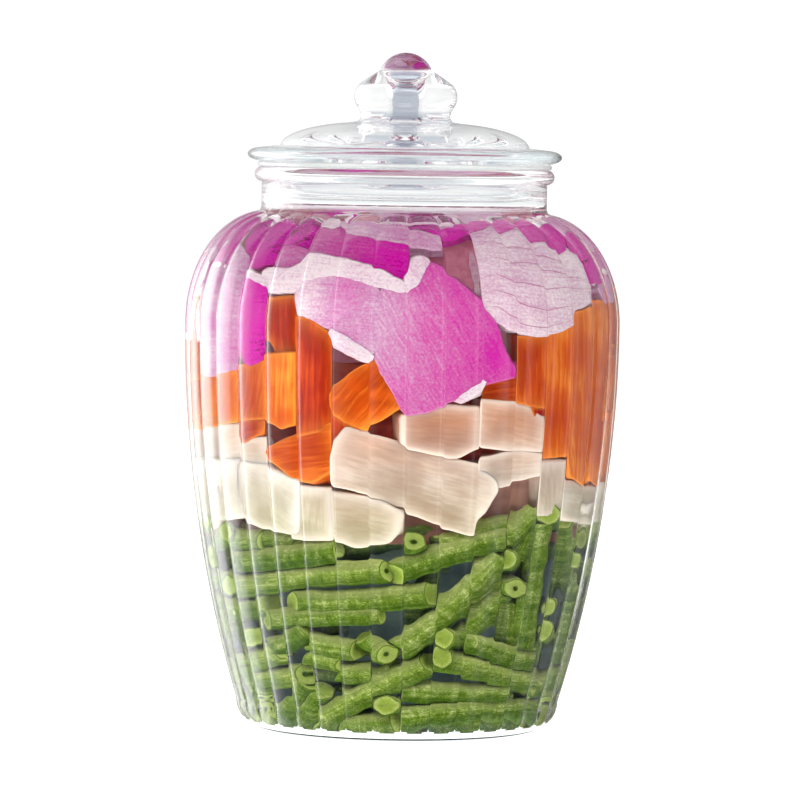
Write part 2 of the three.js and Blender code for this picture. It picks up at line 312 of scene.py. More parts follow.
# Red onion petals: outlines in pixels, points with a depth behind the wall in mm and how red the petal is
# there, the way its fibres run in degrees, and its thickness in mm
FRONT_PETALS = [
    ([(199, 262), (212, 249), (232, 240), (243, 246), (246, 262), (241, 275), (241, 366), (222, 372),
     (203, 377), (199, 340)], [(210, 300, 0.8, 0.24), (232, 300, 0.8, 0.42), (230, 350, 0.6, 0.55),
     (205, 350, 0.8, 0.14), (228, 255, 1.2, 0.36)], 2, 3.0),
    ([(241, 277), (248, 275), (255, 277), (263, 284), (263, 361), (242, 366)], [(252, 290, 0.6, 0.95),
     (245, 320, 0.6, 0.84), (258, 340, 0.6, 0.98)], -4, 3.0),
    ([(246, 270), (254, 271), (265, 280), (265, 286), (255, 279), (246, 276)], [(254, 275, 0.3, 0.08)], 0,
     3.0),
    ([(246, 246), (254, 232), (268, 221), (290, 219), (284, 240), (276, 258), (270, 262), (262, 266),
     (252, 268), (247, 262)], [(262, 235, 1.5, 0.98), (255, 258, 1.2, 0.75), (275, 240, 1.5, 1.0)], -30,
     3.0),
    ([(284, 232), (292, 219), (314, 216), (312, 236), (306, 246), (296, 247), (284, 252), (280, 246)],
     [(300, 230, 1.6, 1.0), (288, 245, 1.6, 0.86)], -30, 3.0),
    ([(279, 250), (290, 247), (300, 247), (305, 250), (302, 262), (297, 270), (280, 272), (273, 268)],
     [(290, 258, 1.2, 0.45)], -10, 3.0),
    ([(262, 272), (270, 266), (283, 270), (297, 268), (303, 256), (310, 254), (322, 255), (337, 258),
     (352, 261), (369, 267), (385, 273), (405, 283), (404, 292), (385, 288), (367, 283), (352, 278),
     (337, 274), (322, 276), (300, 281), (297, 290), (285, 291), (270, 291), (263, 287)],
     [(280, 280, 0.3, 0.03), (340, 266, 0.3, 0.03), (390, 280, 0.3, 0.03)], 4, 5.0),
    ([(304, 257), (306, 240), (312, 228), (318, 222), (334, 226), (345, 232), (372, 238), (390, 236),
     (407, 238), (408, 262), (404, 284), (390, 277), (370, 269), (350, 263), (335, 260), (318, 257)],
     [(315, 240, 2.0, 0.55), (345, 247, 2.0, 0.72), (390, 255, 2.0, 0.88), (400, 270, 1.6, 0.92),
     (325, 252, 1.2, 0.5)], 8, 3.0),
    ([(316, 222), (322, 214), (331, 212), (337, 219), (340, 226), (330, 228), (322, 226)],
     [(328, 220, 0.8, 0.1)], 0, 4.0),
    ([(337, 222), (352, 222), (372, 225), (400, 227), (420, 232), (440, 239), (438, 252), (430, 248),
     (412, 246), (392, 240), (372, 238), (352, 233), (341, 229)], [(360, 229, 1.4, 0.3),
     (400, 233, 1.4, 0.34), (430, 243, 1.4, 0.22)], 8, 4.0),
    ([(334, 211), (360, 208), (400, 209), (440, 213), (464, 219), (468, 230), (458, 238), (446, 241),
     (440, 236), (420, 229), (400, 224), (372, 222), (352, 219), (338, 219)], [(350, 214, 2.2, 1.0),
     (400, 217, 2.2, 1.04), (450, 228, 2.2, 0.92)], 6, 3.0),
    ([(350, 216), (372, 213), (392, 216), (412, 214), (432, 219), (452, 224), (452, 227), (432, 222),
     (412, 217), (392, 219), (372, 216), (350, 219)], [(400, 216, 1.2, 0.2)], 6, 2.0),
    ([(294, 284), (304, 281), (322, 278), (337, 276), (352, 279), (368, 284), (381, 288), (379, 310),
     (376, 357), (366, 352), (346, 340), (328, 329), (318, 321), (305, 316), (294, 313)],
     [(310, 295, 0.9, 0.14), (340, 288, 0.9, 0.46), (350, 320, 0.8, 0.3), (370, 300, 0.8, 0.34),
     (365, 345, 0.7, 0.32), (300, 308, 0.9, 0.06)], 5, 3.0),
    ([(327, 328), (338, 332), (352, 341), (366, 351), (377, 357), (371, 362), (362, 360), (350, 354),
     (338, 345), (328, 337)], [(350, 346, 0.5, 0.05)], 30, 4.0),
    ([(378, 288), (392, 289), (404, 291), (410, 288), (418, 282), (424, 268), (428, 262), (442, 270),
     (460, 284), (481, 304), (495, 320), (505, 352), (514, 374), (507, 378), (486, 382), (467, 394),
     (442, 405), (405, 416), (402, 411), (394, 392), (384, 374), (376, 357)], [(385, 310, 0.7, 0.32),
     (395, 360, 0.6, 0.42), (410, 400, 0.6, 0.58), (425, 290, 0.6, 0.55), (440, 340, 0.6, 0.54),
     (470, 320, 0.7, 0.64), (495, 355, 0.8, 0.84), (455, 380, 0.6, 0.58), (380, 340, 0.6, 0.32)], 62,
     3.4),
    ([(403, 283), (405, 276), (409, 270), (413, 263), (417, 258), (424, 256), (429, 262), (425, 268),
     (422, 276), (418, 284), (411, 290), (403, 293)], [(414, 275, 0.2, 0.06)], 60, 4.0),
    ([(458, 399), (467, 392), (476, 386), (485, 380), (489, 384), (476, 393), (466, 399), (458, 403)],
     [(470, 392, 0.3, 0.03)], -35, 4.0),
    ([(466, 228), (485, 222), (512, 226), (545, 236), (566, 248), (586, 262), (597, 282), (592, 301),
     (577, 310), (573, 325), (548, 337), (516, 333), (498, 322), (482, 315), (480, 290), (476, 262),
     (470, 242)], [(475, 240, 1.4, 0.26), (520, 245, 1.2, 0.22), (530, 290, 0.8, 0.06),
     (500, 270, 0.9, 0.12), (580, 285, 0.8, 0.08), (540, 325, 0.7, 0.03)], 8, 8.0),
    ([(464, 220), (474, 214), (487, 216), (489, 226), (480, 231), (468, 229)], [(476, 222, 0.9, 0.66)],
     10, 3.0),
    ([(488, 217), (500, 213), (514, 218), (515, 228), (503, 232), (490, 229)], [(501, 222, 0.8, 0.64)],
     10, 3.0),
    ([(517, 221), (532, 221), (547, 231), (548, 241), (534, 240), (522, 234)], [(533, 230, 0.7, 0.68)],
     25, 3.0),
    ([(541, 226), (553, 226), (564, 240), (566, 253), (554, 251), (545, 240)], [(554, 238, 0.7, 0.74)],
     35, 3.0),
    ([(564, 234), (576, 235), (588, 248), (590, 259), (578, 258), (568, 246)], [(577, 246, 0.6, 0.72)],
     40, 3.0),
    ([(587, 256), (595, 257), (602, 272), (601, 286), (592, 278)], [(595, 268, 0.5, 0.8)], 50, 3.0),
    ([(598, 268), (607, 280), (613, 300), (606, 306), (600, 292)], [(605, 288, 0.6, 0.3)], 50, 3.0),
]
# Lines between the layers of the onion's root end, each as points along it
ROOT_LINES = [
    [(476, 247), (490, 241), (508, 246), (528, 249), (548, 257), (570, 266)],
    [(480, 262), (494, 257), (512, 262), (532, 263), (548, 270), (572, 276), (590, 282)],
    [(480, 280), (496, 274), (512, 281), (530, 284), (548, 289), (570, 287), (592, 290)],
    [(481, 297), (496, 290), (511, 295), (528, 306), (546, 311), (571, 306), (584, 300)],
    [(482, 308), (498, 306), (514, 318), (528, 326), (547, 328), (572, 320)],
]


def arc(centre_r, centre_z, reach, rise, start, end, steps):
    """Points on an arc of an ellipse in the (radius, height) plane, angles in degrees from straight out."""
    angles = np.radians(np.linspace(start, end, steps + 1))
    return [(centre_r + reach * math.cos(a), centre_z + rise * math.sin(a)) for a in angles]


def line(start, end, steps):
    """Points from start up to, but not at, end."""
    shares = np.arange(steps) / steps
    return [(start[0] + (end[0] - start[0]) * s, start[1] + (end[1] - start[1]) * s) for s in shares]


def side_radius(z, inset):
    curve = SIDE_CURVE_RADIUS - inset
    below = BELLY_HEIGHT - z
    return BELLY_RADIUS - SIDE_CURVE_RADIUS + math.sqrt(curve ** 2 - below ** 2)


def side_points(from_z, inset, steps):
    heights = from_z + (BELLY_HEIGHT - from_z) * np.arange(steps) / steps
    return [(side_radius(z, inset), z) for z in heights]


def shoulder_points(inset, end, steps):
    return arc(SHOULDER_CENTRE, BELLY_HEIGHT, SHOULDER_REACH - inset, SHOULDER_RISE - inset, 0, end, steps)


def inside_profile(grow=0.0):
    """The crock's inside from the middle of the floor to the foot of the neck, grown outwards."""
    inset = WALL - grow
    corner_top = FLOOR + FLOOR_CORNER_RISE
    reach = FLOOR_CORNER_REACH
    floor_radius = side_radius(corner_top, inset) - reach
    neck_foot = SHOULDER_TOP - inset + SHOULDER_CENTRE - MOUTH_RADIUS
    return [
        (0.0, FLOOR - grow),
        *line((5.0, FLOOR - grow), (floor_radius, FLOOR - grow), 4),
        *arc(floor_radius, corner_top, reach, FLOOR_CORNER_RISE + grow, -90, 0, 8)[:-1],
        *side_points(corner_top, inset, 16),
        *shoulder_points(inset, 86, 16),
        (MOUTH_RADIUS + grow + 0.5, neck_foot - 0.4),
        (MOUTH_RADIUS + grow, neck_foot + 0.3),
    ]


def outside_profile():
    """The crock's outside from the middle of the recessed foot to the rim."""
    heel_reach = side_radius(HEEL_HEIGHT, 0.0) - FOOT_RADIUS
    ring = FOOT_RADIUS - FOOT_RING_WIDTH
    bead_middle = RIM_HEIGHT - BEAD_HEIGHT / 2
    rim_corner = BEAD_RADIUS - 2 * RIM_ROUNDING
    return [
        (0.0, FOOT_RECESS),
        *line((5.0, FOOT_RECESS), (ring - FOOT_RECESS, FOOT_RECESS), 3),
        *arc(ring - FOOT_RECESS, 0.0, FOOT_RECESS, FOOT_RECESS, 90, 0, 4),
        *arc(FOOT_RADIUS, HEEL_HEIGHT, heel_reach, HEEL_HEIGHT, -90, -5, 20),
        *side_points(HEEL_HEIGHT, 0.0, 18),
        *shoulder_points(0.0, 82, 22),
        (NECK_RADIUS + 0.4 * NECK_FILLET, SHOULDER_TOP + 0.1 * NECK_FILLET),
        (NECK_RADIUS, SHOULDER_TOP + NECK_FILLET),
        *arc(NECK_RADIUS, bead_middle, BEAD_RADIUS - NECK_RADIUS, BEAD_HEIGHT / 2, -90, 50, 10),
        *arc(rim_corner, RIM_HEIGHT - RIM_ROUNDING, RIM_ROUNDING, RIM_ROUNDING, 45, 90, 3),
    ]


def turned_mesh(name, profile, angles, dips=None):
    """A profile of (radius, height) turned about +Z, as one closed mesh. dips, if given, is how far each
    (profile point, angle) is pressed in along the profile's normal."""
    points = np.array(profile)
    on_axis = [points[0, 0] < 1e-6, points[-1, 0] < 1e-6]
    along = np.gradient(points, axis=0)
    normals = np.stack([along[:, 1], -along[:, 0]], axis=1)
    normals /= np.maximum(np.linalg.norm(normals, axis=1, keepdims=True), 1e-9)
    radius = np.repeat(points[:, :1], len(angles), axis=1)
    height = np.repeat(points[:, 1:], len(angles), axis=1)
    if dips is not None:
        radius = radius - normals[:, :1] * dips
        height = height - normals[:, 1:] * dips
    verts = np.stack([radius * np.sin(angles), -radius * np.cos(angles), height], axis=2)
    rows, columns = verts.shape[:2]
    index = np.arange(rows * columns).reshape(rows, columns)
    faces = []
    for row in range(rows if not any(on_axis) else rows - 1):
        lower, upper = index[row], index[(row + 1) % rows]
        for column in range(columns):
            after = (column + 1) % columns
            quad = [lower[column], lower[after], upper[after], upper[column]]
            faces.append([int(v) for v in quad])
    mesh = bpy.data.meshes.new(name)
    mesh.from_pydata((verts.reshape(-1, 3) * MM).tolist(), [], faces)
    work = bmesh.new()
    work.from_mesh(mesh)
    bmesh.ops.remove_doubles(work, verts=work.verts, dist=1e-7)
    bmesh.ops.dissolve_degenerate(work, edges=work.edges, dist=1e-8)
    bmesh.ops.recalc_face_normals(work, faces=work.faces)
    for face in work.faces:
        face.smooth = True
    work.to_mesh(mesh)
    work.free()
    return add_object(name, mesh)


def add_object(name, mesh):
    piece = bpy.data.objects.new(name, mesh)
    bpy.context.scene.collection.objects.link(piece)
    return piece


def even_angles(columns):
    return np.arange(columns) * 2 * math.pi / columns


def flute_columns():
    """Angles of the columns and each one's share of the flute's depth: 0 on a lobe's crest, most in a crease.
    Lobes are flat in the middle and fall off steeply to slightly rounded creases, where columns crowd."""
    half = np.array([0.0, 0.35, 0.55, 0.68, 0.78, 0.86, 0.92, 0.965, 1.0])
    across = np.concatenate([-half[::-1], half[1:-1]])
    level = 1 - CREASE
    past = np.maximum(np.abs(across) - level, 0.0)
    slope = LOBE_POWER * level ** (LOBE_POWER - 1)
    share = np.minimum(np.abs(across), level) ** LOBE_POWER + slope * past - slope * past ** 2 / (2 * CREASE)
    pitch = 2 * math.pi / FLUTE_COUNT
    starts = np.arange(FLUTE_COUNT)[:, None] * pitch
    angles = (starts + (across + 1) / 2 * pitch).ravel() + FLUTE_PHASE
    return angles, np.tile(share, FLUTE_COUNT)


def make_crock():
    outside = outside_profile()
    inside = inside_profile()
    mouth = [(MOUTH_RADIUS, z) for z in np.linspace(RIM_HEIGHT - RIM_ROUNDING, SHOULDER_TOP, 8)]
    rim = arc(MOUTH_RADIUS + RIM_ROUNDING, RIM_HEIGHT - RIM_ROUNDING, RIM_ROUNDING, RIM_ROUNDING, 90, 150, 3)
    profile = outside + rim + mouth + inside[::-1]
    angles, share = flute_columns()
    depth = np.zeros(len(profile))
    for i, (r, z) in enumerate(outside):
        on_foot = r <= FOOT_RADIUS
        if not on_foot and z < SHOULDER_TOP:
            heel = min(max((z - FLUTE_FOOT) / FLUTE_FADE, 0.0), 1.0)
            depth[i] = FLUTE_DEPTH * heel * heel * (3 - 2 * heel) * r / BELLY_RADIUS
    return turned_mesh("crock_glass", profile, angles, depth[:, None] * share[None, :])


def make_lid():
    edge = FLANGE_EDGE / 2
    taper = FLANGE_TAPER * edge
    dome_foot = FLANGE_BOTTOM + FLANGE_EDGE + FLANGE_SLOPE_RISE
    dome_top = dome_foot + DOME_RISE
    plug_round = PLUG_WIDTH / 2
    plug_foot = FLANGE_BOTTOM - PLUG_DEPTH + plug_round
    under_dome = dome_top - DOME_THICKNESS - FLANGE_BOTTOM
    middle = dome_top + KNOB_MIDDLE
    cap_foot = dome_top + KNOB_CAP_FOOT
    cap_rise = LID_TOP - cap_foot
    cap_sphere = (cap_rise ** 2 + KNOB_CAP_RADIUS ** 2) / (2 * cap_rise)
    cap_start = math.degrees(math.acos(KNOB_CAP_RADIUS / cap_sphere))
    inner_reach = PLUG_RADIUS - PLUG_WIDTH
    mouth_start = math.degrees(math.acos(KNOB_HOLLOW_MOUTH / inner_reach))
    hollow_top = dome_top + KNOB_HOLLOW_TOP - KNOB_HOLLOW_ROUNDING
    mouth = FLANGE_BOTTOM + under_dome * math.sin(math.radians(mouth_start))
    flare = KNOB_HOLLOW_MOUTH - KNOB_HOLLOW_RADIUS
    profile = [
        *arc(0.0, hollow_top, KNOB_HOLLOW_RADIUS, KNOB_HOLLOW_ROUNDING, 90, 0, 12),
        *arc(KNOB_HOLLOW_RADIUS, (hollow_top + mouth + flare) / 2, KNOB_HOLLOW_WAIST,
             (hollow_top - mouth - flare) / 2 - 0.5, 100, 260, 8),
        *arc(KNOB_HOLLOW_MOUTH, mouth + flare, flare, flare, 180, 262, 10),
        *arc(0.0, FLANGE_BOTTOM, inner_reach, under_dome, mouth_start - 2, 0, 22),
        *arc(PLUG_RADIUS - plug_round, plug_foot, plug_round, plug_round, -180, 0, 12),
        (PLUG_RADIUS, FLANGE_BOTTOM - 0.3),
        (PLUG_RADIUS + 0.4, FLANGE_BOTTOM),
        *arc(FLANGE_RADIUS - taper, FLANGE_BOTTOM + edge, taper, edge, -90, 85, 14),
        *arc(DOME_CENTRE, dome_foot, DOME_REACH, DOME_RISE, 2, 76, 18),
        (KNOB_FOOT_RADIUS - 0.6, dome_top + 0.25),
        (KNOB_WAIST_RADIUS + 0.3, dome_top + KNOB_WAIST_HEIGHT / 2),
        (KNOB_WAIST_RADIUS, dome_top + KNOB_WAIST_HEIGHT),
        *arc(KNOB_RADIUS - KNOB_ROUNDING, middle, KNOB_ROUNDING, KNOB_ROUNDING, -38, 48, 14),
        *line((KNOB_CAP_RADIUS + 4.2, cap_foot - 2.6), (KNOB_CAP_RADIUS, cap_foot), 3),
        *arc(0.0, LID_TOP - cap_sphere, cap_sphere, cap_sphere, cap_start, 90, 12),
    ]
    return turned_mesh("lid_glass", profile, even_angles(ROUND_COLUMNS))


def make_brine():
    reach = 0.25
    inside = inside_profile(reach)
    profile = inside + [
        (MOUTH_RADIUS + reach, BRINE_TOP + 0.6),
        (MOUTH_RADIUS - 0.4, BRINE_TOP + 0.2),
        (MOUTH_RADIUS - 1.4, BRINE_TOP),
        *line((MOUTH_RADIUS - 4.0, BRINE_TOP), (0.0, BRINE_TOP), 5),
        (0.0, BRINE_TOP),
    ]
    return turned_mesh("brine_fill", profile, even_angles(ROUND_COLUMNS))


def camera_frame():
    """The camera's place, in millimetres, and its turn."""
    place = Vector((CAMERA_AIM[0], -CAMERA_DISTANCE, CAMERA_HEIGHT))
    turn = (Vector(CAMERA_AIM) - place).to_track_quat("-Z", "Y").to_matrix()
    return place, turn @ Matrix.Rotation(CAMERA_ROLL, 3, "Z")


def wall_at(up, inset):
    """Radius, height and outward normal of the side and shoulder at a place up the wall. The place is the
    height on the side, and goes on along the curve of the shoulder."""
    up = np.asarray(up, dtype=float)
    curve = SIDE_CURVE_RADIUS - inset
    below = np.minimum(up - BELLY_HEIGHT, 0.0)
    side_out = np.sqrt(curve ** 2 - below ** 2)
    turn = np.maximum(up - BELLY_HEIGHT, 0.0) / SHOULDER_MEAN
    reach = SHOULDER_REACH - inset
    rise = SHOULDER_RISE - inset
    radius = np.where(up < BELLY_HEIGHT, BELLY_RADIUS - SIDE_CURVE_RADIUS + side_out,
                      SHOULDER_CENTRE + reach * np.cos(turn))
    height = np.where(up < BELLY_HEIGHT, up, BELLY_HEIGHT + rise * np.sin(turn))
    normal_r = np.where(up < BELLY_HEIGHT, side_out / curve, np.cos(turn) / reach)
    normal_z = np.where(up < BELLY_HEIGHT, below / curve, np.sin(turn) / rise)
    length = np.hypot(normal_r, normal_z)
    return radius, height, normal_r / length, normal_z / length


def wall_point(angle, up, depth):
    """The point at a depth behind the film of brine that lies on the inside of the wall."""
    depth = depth + STANDOFF
    radius, height, normal_r, normal_z = wall_at(up, WALL)
    out = radius - depth * normal_r
    return np.stack([out * np.sin(angle), -out * np.cos(angle), height - depth * normal_z], axis=-1)


UP_SAMPLES = np.linspace(2.0, BELLY_HEIGHT + 1.5 * SHOULDER_MEAN, 500)
MEAN_FLUTE = FLUTE_DEPTH / (LOBE_POWER + 1)
OUTSIDE_RADII, OUTSIDE_HEIGHTS = wall_at(UP_SAMPLES, MEAN_FLUTE)[:2]
_, INSIDE_HEIGHTS, _, INSIDE_TILTS = wall_at(UP_SAMPLES, WALL)
CAMERA_PLACE, CAMERA_TURN = camera_frame()


def wall_normal(place, up, inset):
    """The outward normal of the wall near a place."""
    _, _, normal_r, normal_z = wall_at(up, inset)
    level = Vector((place.x, place.y, 0.0)).normalized()
    return level * float(normal_r) + Vector((0.0, 0.0, float(normal_z)))


def refracted(ray, normal, ratio):
    """A ray after it has passed through a surface, from the ratio of the refractive indices."""
    cosine = -ray.dot(normal)
    onward = math.sqrt(max(1 - ratio ** 2 * (1 - cosine ** 2), 0.0))
    return ray * ratio + normal * (ratio * cosine - onward)


def seen(px, py, depth=0.0):
    """Where the line of sight through a pixel of the photograph reaches a depth behind the inside of the
    wall, as an angle round the crock and a place up the wall. Glass and brine bend the line on its way."""
    share = VIEW_WIDTH / CAMERA_DISTANCE / IMAGE_SIZE
    ray = CAMERA_TURN @ Vector(((px - IMAGE_SIZE / 2) * share, (IMAGE_SIZE / 2 - py) * share, -1.0))
    ray.normalize()
    level = math.hypot(ray.x, ray.y)
    aside = (CAMERA_PLACE.x * ray.y - CAMERA_PLACE.y * ray.x) / level
    nearest = -(CAMERA_PLACE.x * ray.x + CAMERA_PLACE.y * ray.y) / level
    half_chord = np.sqrt(np.maximum(OUTSIDE_RADII ** 2 - aside ** 2, 1.0))
    sight_heights = CAMERA_PLACE.z + (nearest - half_chord) * ray.z / level
    up = float(np.interp(0.0, OUTSIDE_HEIGHTS - sight_heights, UP_SAMPLES))
    reach = nearest - float(np.interp(up, UP_SAMPLES, half_chord))
    outside = CAMERA_PLACE + ray * (reach / level)
    normal = wall_normal(outside, up, MEAN_FLUTE)
    in_glass = refracted(ray, normal, 1 / GLASS_IOR)
    inside = outside + in_glass * ((WALL - MEAN_FLUTE) / max(-in_glass.dot(normal), 0.2))
    normal = wall_normal(inside, float(np.interp(inside.z, INSIDE_HEIGHTS, UP_SAMPLES)), WALL)
    in_brine = refracted(in_glass, normal, GLASS_IOR / BRINE_IOR)
    below = depth + STANDOFF
    spot = inside + in_brine * (below / max(-in_brine.dot(normal), 0.2))
    heights = INSIDE_HEIGHTS - below * INSIDE_TILTS
    return math.atan2(spot.x, -spot.y), float(np.interp(spot.z, heights, UP_SAMPLES))


def seen_point(px, py, depth):
    angle, up = seen(px, py, depth)
    return wall_point(angle, up, depth)


def kept_inside(points):
    """Points pressed back to just inside the wall, the floor and the brine's surface."""
    height = np.clip(points[:, 2], FLOOR + CLEARANCE, BRINE_TOP - CLEARANCE)
    limit = np.interp(height, *inside_curve()) - CLEARANCE
    radius = np.maximum(np.hypot(points[:, 0], points[:, 1]), 1e-6)
    share = np.minimum(limit / radius, 1.0)
    return np.column_stack([points[:, 0] * share, points[:, 1] * share, height])


class Heap:
    """Many pieces of one kind gathered into one mesh, with named values at each point for its material."""

    def __init__(self, *names):
        self.points = []
        self.faces = []
        self.count = 0
        self.values = {name: [] for name in names}

    def add(self, points, faces, **values):
        self.points.append(points)
        self.faces.extend([[corner + self.count for corner in face] for face in faces])
        self.count += len(points)
        for name, value in values.items():
            self.values[name].append(np.broadcast_to(value, len(points)))

    def make(self, name):
        mesh = bpy.data.meshes.new(name)
        points = kept_inside(np.concatenate(self.points))
        mesh.from_pydata((points * MM).tolist(), [], self.faces)
        mesh.polygons.foreach_set("use_smooth", [True] * len(self.faces))
        values = {key: np.concatenate(parts) for key, parts in self.values.items()}
        heights, radii = inside_curve()
        values["sunk"] = np.interp(points[:, 2], heights, radii) - np.hypot(points[:, 0], points[:, 1])
        for key, value in values.items():
            numbers = value.astype(np.float32)
            mesh.attributes.new(key, "FLOAT", "POINT").data.foreach_set("value", numbers)
        mesh.update()
        return add_object(name, mesh)


def ringed_faces(rings, sides):
    """Faces of a closed skin over rings of points, with one point at each end."""
    last = rings * sides + 1
    faces = []
    for side in range(sides):
        after = (side + 1) % sides
        faces.append([0, 1 + after, 1 + side])
        faces.append([last, last - sides + side, last - sides + after])
        for ring in range(rings - 1):
            low = 1 + ring * sides
            high = low + sides
            faces.append([low + side, low + after, high + after, high + side])
    return faces


def wobble(points, scale, amount):
    """Points moved by smooth noise whose lumps are about scale wide."""
    moves = [noise.noise_vector(Vector(p) / scale) for p in points.tolist()]
    return points + amount * np.array(moves)


def unit(vector):
    return vector / max(np.linalg.norm(vector), 1e-9)


def outward(point):
    return unit(np.array([point[0], point[1], 0.0]))


# Ends of a bean: distance in from the end, share of the thickness, and place on the cut from middle to rim
CUT_RINGS = (
    (0.5, 0.2, 0.2),
    (0.1, 0.42, 0.42),
    (0.0, 0.66, 0.66),
    (0.0, 0.86, 0.86),
    (0.1, 0.97, 1.0),
    (0.5, 1.0, 1.2),
)
CUT_HOLLOW = 1.1


def capped(values, last=0.0):
    """Values on the rings of a skin, with one more for the point at each end."""
    return np.concatenate([[0.0], values, [last]])


def add_bean(heap, start, end, bend, thickness, rng):
    """A cut length of bean: a slightly flat pod with ridges along its two seams and slanting cut ends."""
    axis = end - start
    length = np.linalg.norm(axis)
    steps = max(int((length - 2) / BEAN_STEP), 3)
    body = [(s, 1.0, 1.5) for s in np.linspace(1.3, length - 1.3, steps)]
    tail = [(length - s, share, cut) for s, share, cut in CUT_RINGS[::-1]]
    rings = list(CUT_RINGS) + body + tail
    across = unit(np.cross(axis, outward((start + end) / 2)))
    out = unit(np.cross(across, axis))
    angles = even_angles(BEAN_SIDES)
    seam = math.pi / 2 + rng.normal(0.0, 0.35)
    phase = rng.uniform(0, 2 * math.pi)
    pitch = rng.uniform(9.0, 13.0)
    off_seam = math.pi / 2 - np.abs((angles - seam) % math.pi - math.pi / 2)
    ridge = np.exp(-(off_seam / 0.22) ** 2)
    groove = np.exp(-((off_seam - 0.5) / 0.22) ** 2)
    oval = 0.95 + 0.05 * np.cos(2 * (angles - seam)) + 0.09 * ridge - 0.06 * groove
    slants = (rng.uniform(-0.5, 0.2), rng.uniform(0.1, 0.65))
    if rng.random() < 0.3:
        slants = (-slants[1], -slants[0])

    def place(s):
        share = s / length
        return start + axis * share + bend * 4 * share * (1 - share)

    points = []
    for s, share, _ in rings:
        swell = 1 + 0.045 * math.sin(2 * math.pi * s / pitch + phase)
        radii = thickness / 2 * share * oval * swell
        near_start = max(1 - s / (1.3 * thickness), 0.0)
        near_end = max(1 - (length - s) / (1.3 * thickness), 0.0)
        shift = -(slants[0] * near_start + slants[1] * near_end) * radii * np.cos(angles)
        ring = place(s) + radii[:, None] * (np.cos(angles)[:, None] * out + np.sin(angles)[:, None] * across)
        points.append(ring + shift[:, None] * axis / length)
    skin = wobble(wobble(wobble(np.concatenate(points), 22.0, 0.7), 6.0, 0.4), 2.4, 0.2)
    hollow = float(rng.random() < 0.2)
    first = place(0.2 + hollow * CUT_HOLLOW)
    last = place(length - 0.2 - hollow * CUT_HOLLOW)
    along, _, cuts = np.repeat(rings, BEAN_SIDES, axis=0).T
    around = ((angles + math.pi) % (2 * math.pi) - math.pi) * thickness / 2
    heap.add(np.vstack([first, skin, last]), ringed_faces(len(rings), BEAN_SIDES), cut=capped(cuts),
             along=capped(along, length), round=capped(np.tile(around, len(rings))),
             shade=0.8 * rng.random() ** 1.6, hollow=hollow)


def gap_between(start, end, others):
    """The least distance from a bean's axis to the axes already placed, at a few points of each."""
    if not others:
        return math.inf
    shares = np.linspace(0, 1, 9)[:, None]
    here = start + (end - start) * shares
    placed = np.concatenate([a + (b - a) * shares for a, b in others])
    return np.min(np.linalg.norm(here[:, None] - placed[None], axis=2))


def front_beans(heap, rng, placed):
    for x0, y0, x1, y1, depth, bend, thickness in FRONT_BEANS:
        middle = depth + thickness / 2
        start = seen_point(x0, y0, middle)
        end = seen_point(x1, y1, middle)
        side = unit(np.cross(end - start, outward((start + end) / 2)))
        bulge = seen_point((x0 + x1) / 2, (y0 + y1) / 2, middle) - (start + end) / 2
        add_bean(heap, start, end, side * bend + WALL_HUG * bulge, thickness, rng)
        placed.append((start, end))
    for px, py, depth, aside, down in FACING_BEANS:
        thickness = BEAN_THICKNESS * rng.uniform(0.85, 1.1)
        start = seen_point(px, py, depth)
        end = seen_point(px + aside, py + down, depth + rng.uniform(13, 18))
        add_bean(heap, start, end, np.zeros(3), thickness, rng)
        placed.append((start, end))


def loose_beans(heap, rng, placed, tries, depth, angles, lengths):
    """Beans lying every way against the wall, where there is still room."""
    for _ in range(tries):
        angle = rng.uniform(*angles)
        up = rng.uniform(FLOOR + 5.0, BEAN_TOP + 4.0)
        length = rng.uniform(*lengths)
        tilt = rng.normal(0.0, 0.5) if rng.random() < 0.75 else rng.uniform(0.9, 2.2)
        thickness = BEAN_THICKNESS * rng.uniform(0.85, 1.12)
        middle = depth + thickness / 2
        radius = float(wall_at(up, WALL)[0]) - middle
        turn = length / 2 * math.cos(tilt) / radius
        climb = length / 2 * math.sin(tilt)
        if not FLOOR + 4.0 < up - abs(climb) or up + abs(climb) > BEAN_TOP + 5.0:
            continue
        start = wall_point(angle - turn, up - climb, middle)
        end = wall_point(angle + turn, up + climb, middle)
        if gap_between(start, end, placed) < 0.72 * BEAN_THICKNESS:
            continue
        side = unit(np.cross(end - start, outward(start)))
        bulge = wall_point(angle, up, middle) - (start + end) / 2
        add_bean(heap, start, end, side * rng.normal(0.0, 0.9) + WALL_HUG * bulge, thickness, rng)
        placed.append((start, end))


def floor_beans(heap, rng):
    """Beans side by side on the floor, where the thick heel of the glass shows them from below."""
    height = FLOOR + 0.4 + BEAN_THICKNESS / 2
    reach = side_radius(FLOOR + FLOOR_CORNER_RISE, WALL) - 9.0
    for row in np.arange(-reach, reach + 1.0, 0.98 * BEAN_THICKNESS):
        half = math.sqrt(max(reach ** 2 - row ** 2, 0.0)) + 2.0
        x = -half
        while x < half - 8.0:
            length = min(rng.uniform(20.0, 40.0), half - x)
            start = np.array([x, row + rng.normal(0.0, 0.5), height])
            end = np.array([x + length - 0.8, row + rng.normal(0.0, 0.5), height])
            add_bean(heap, start, end, np.zeros(3), BEAN_THICKNESS * rng.uniform(0.9, 1.0), rng)
            x += length


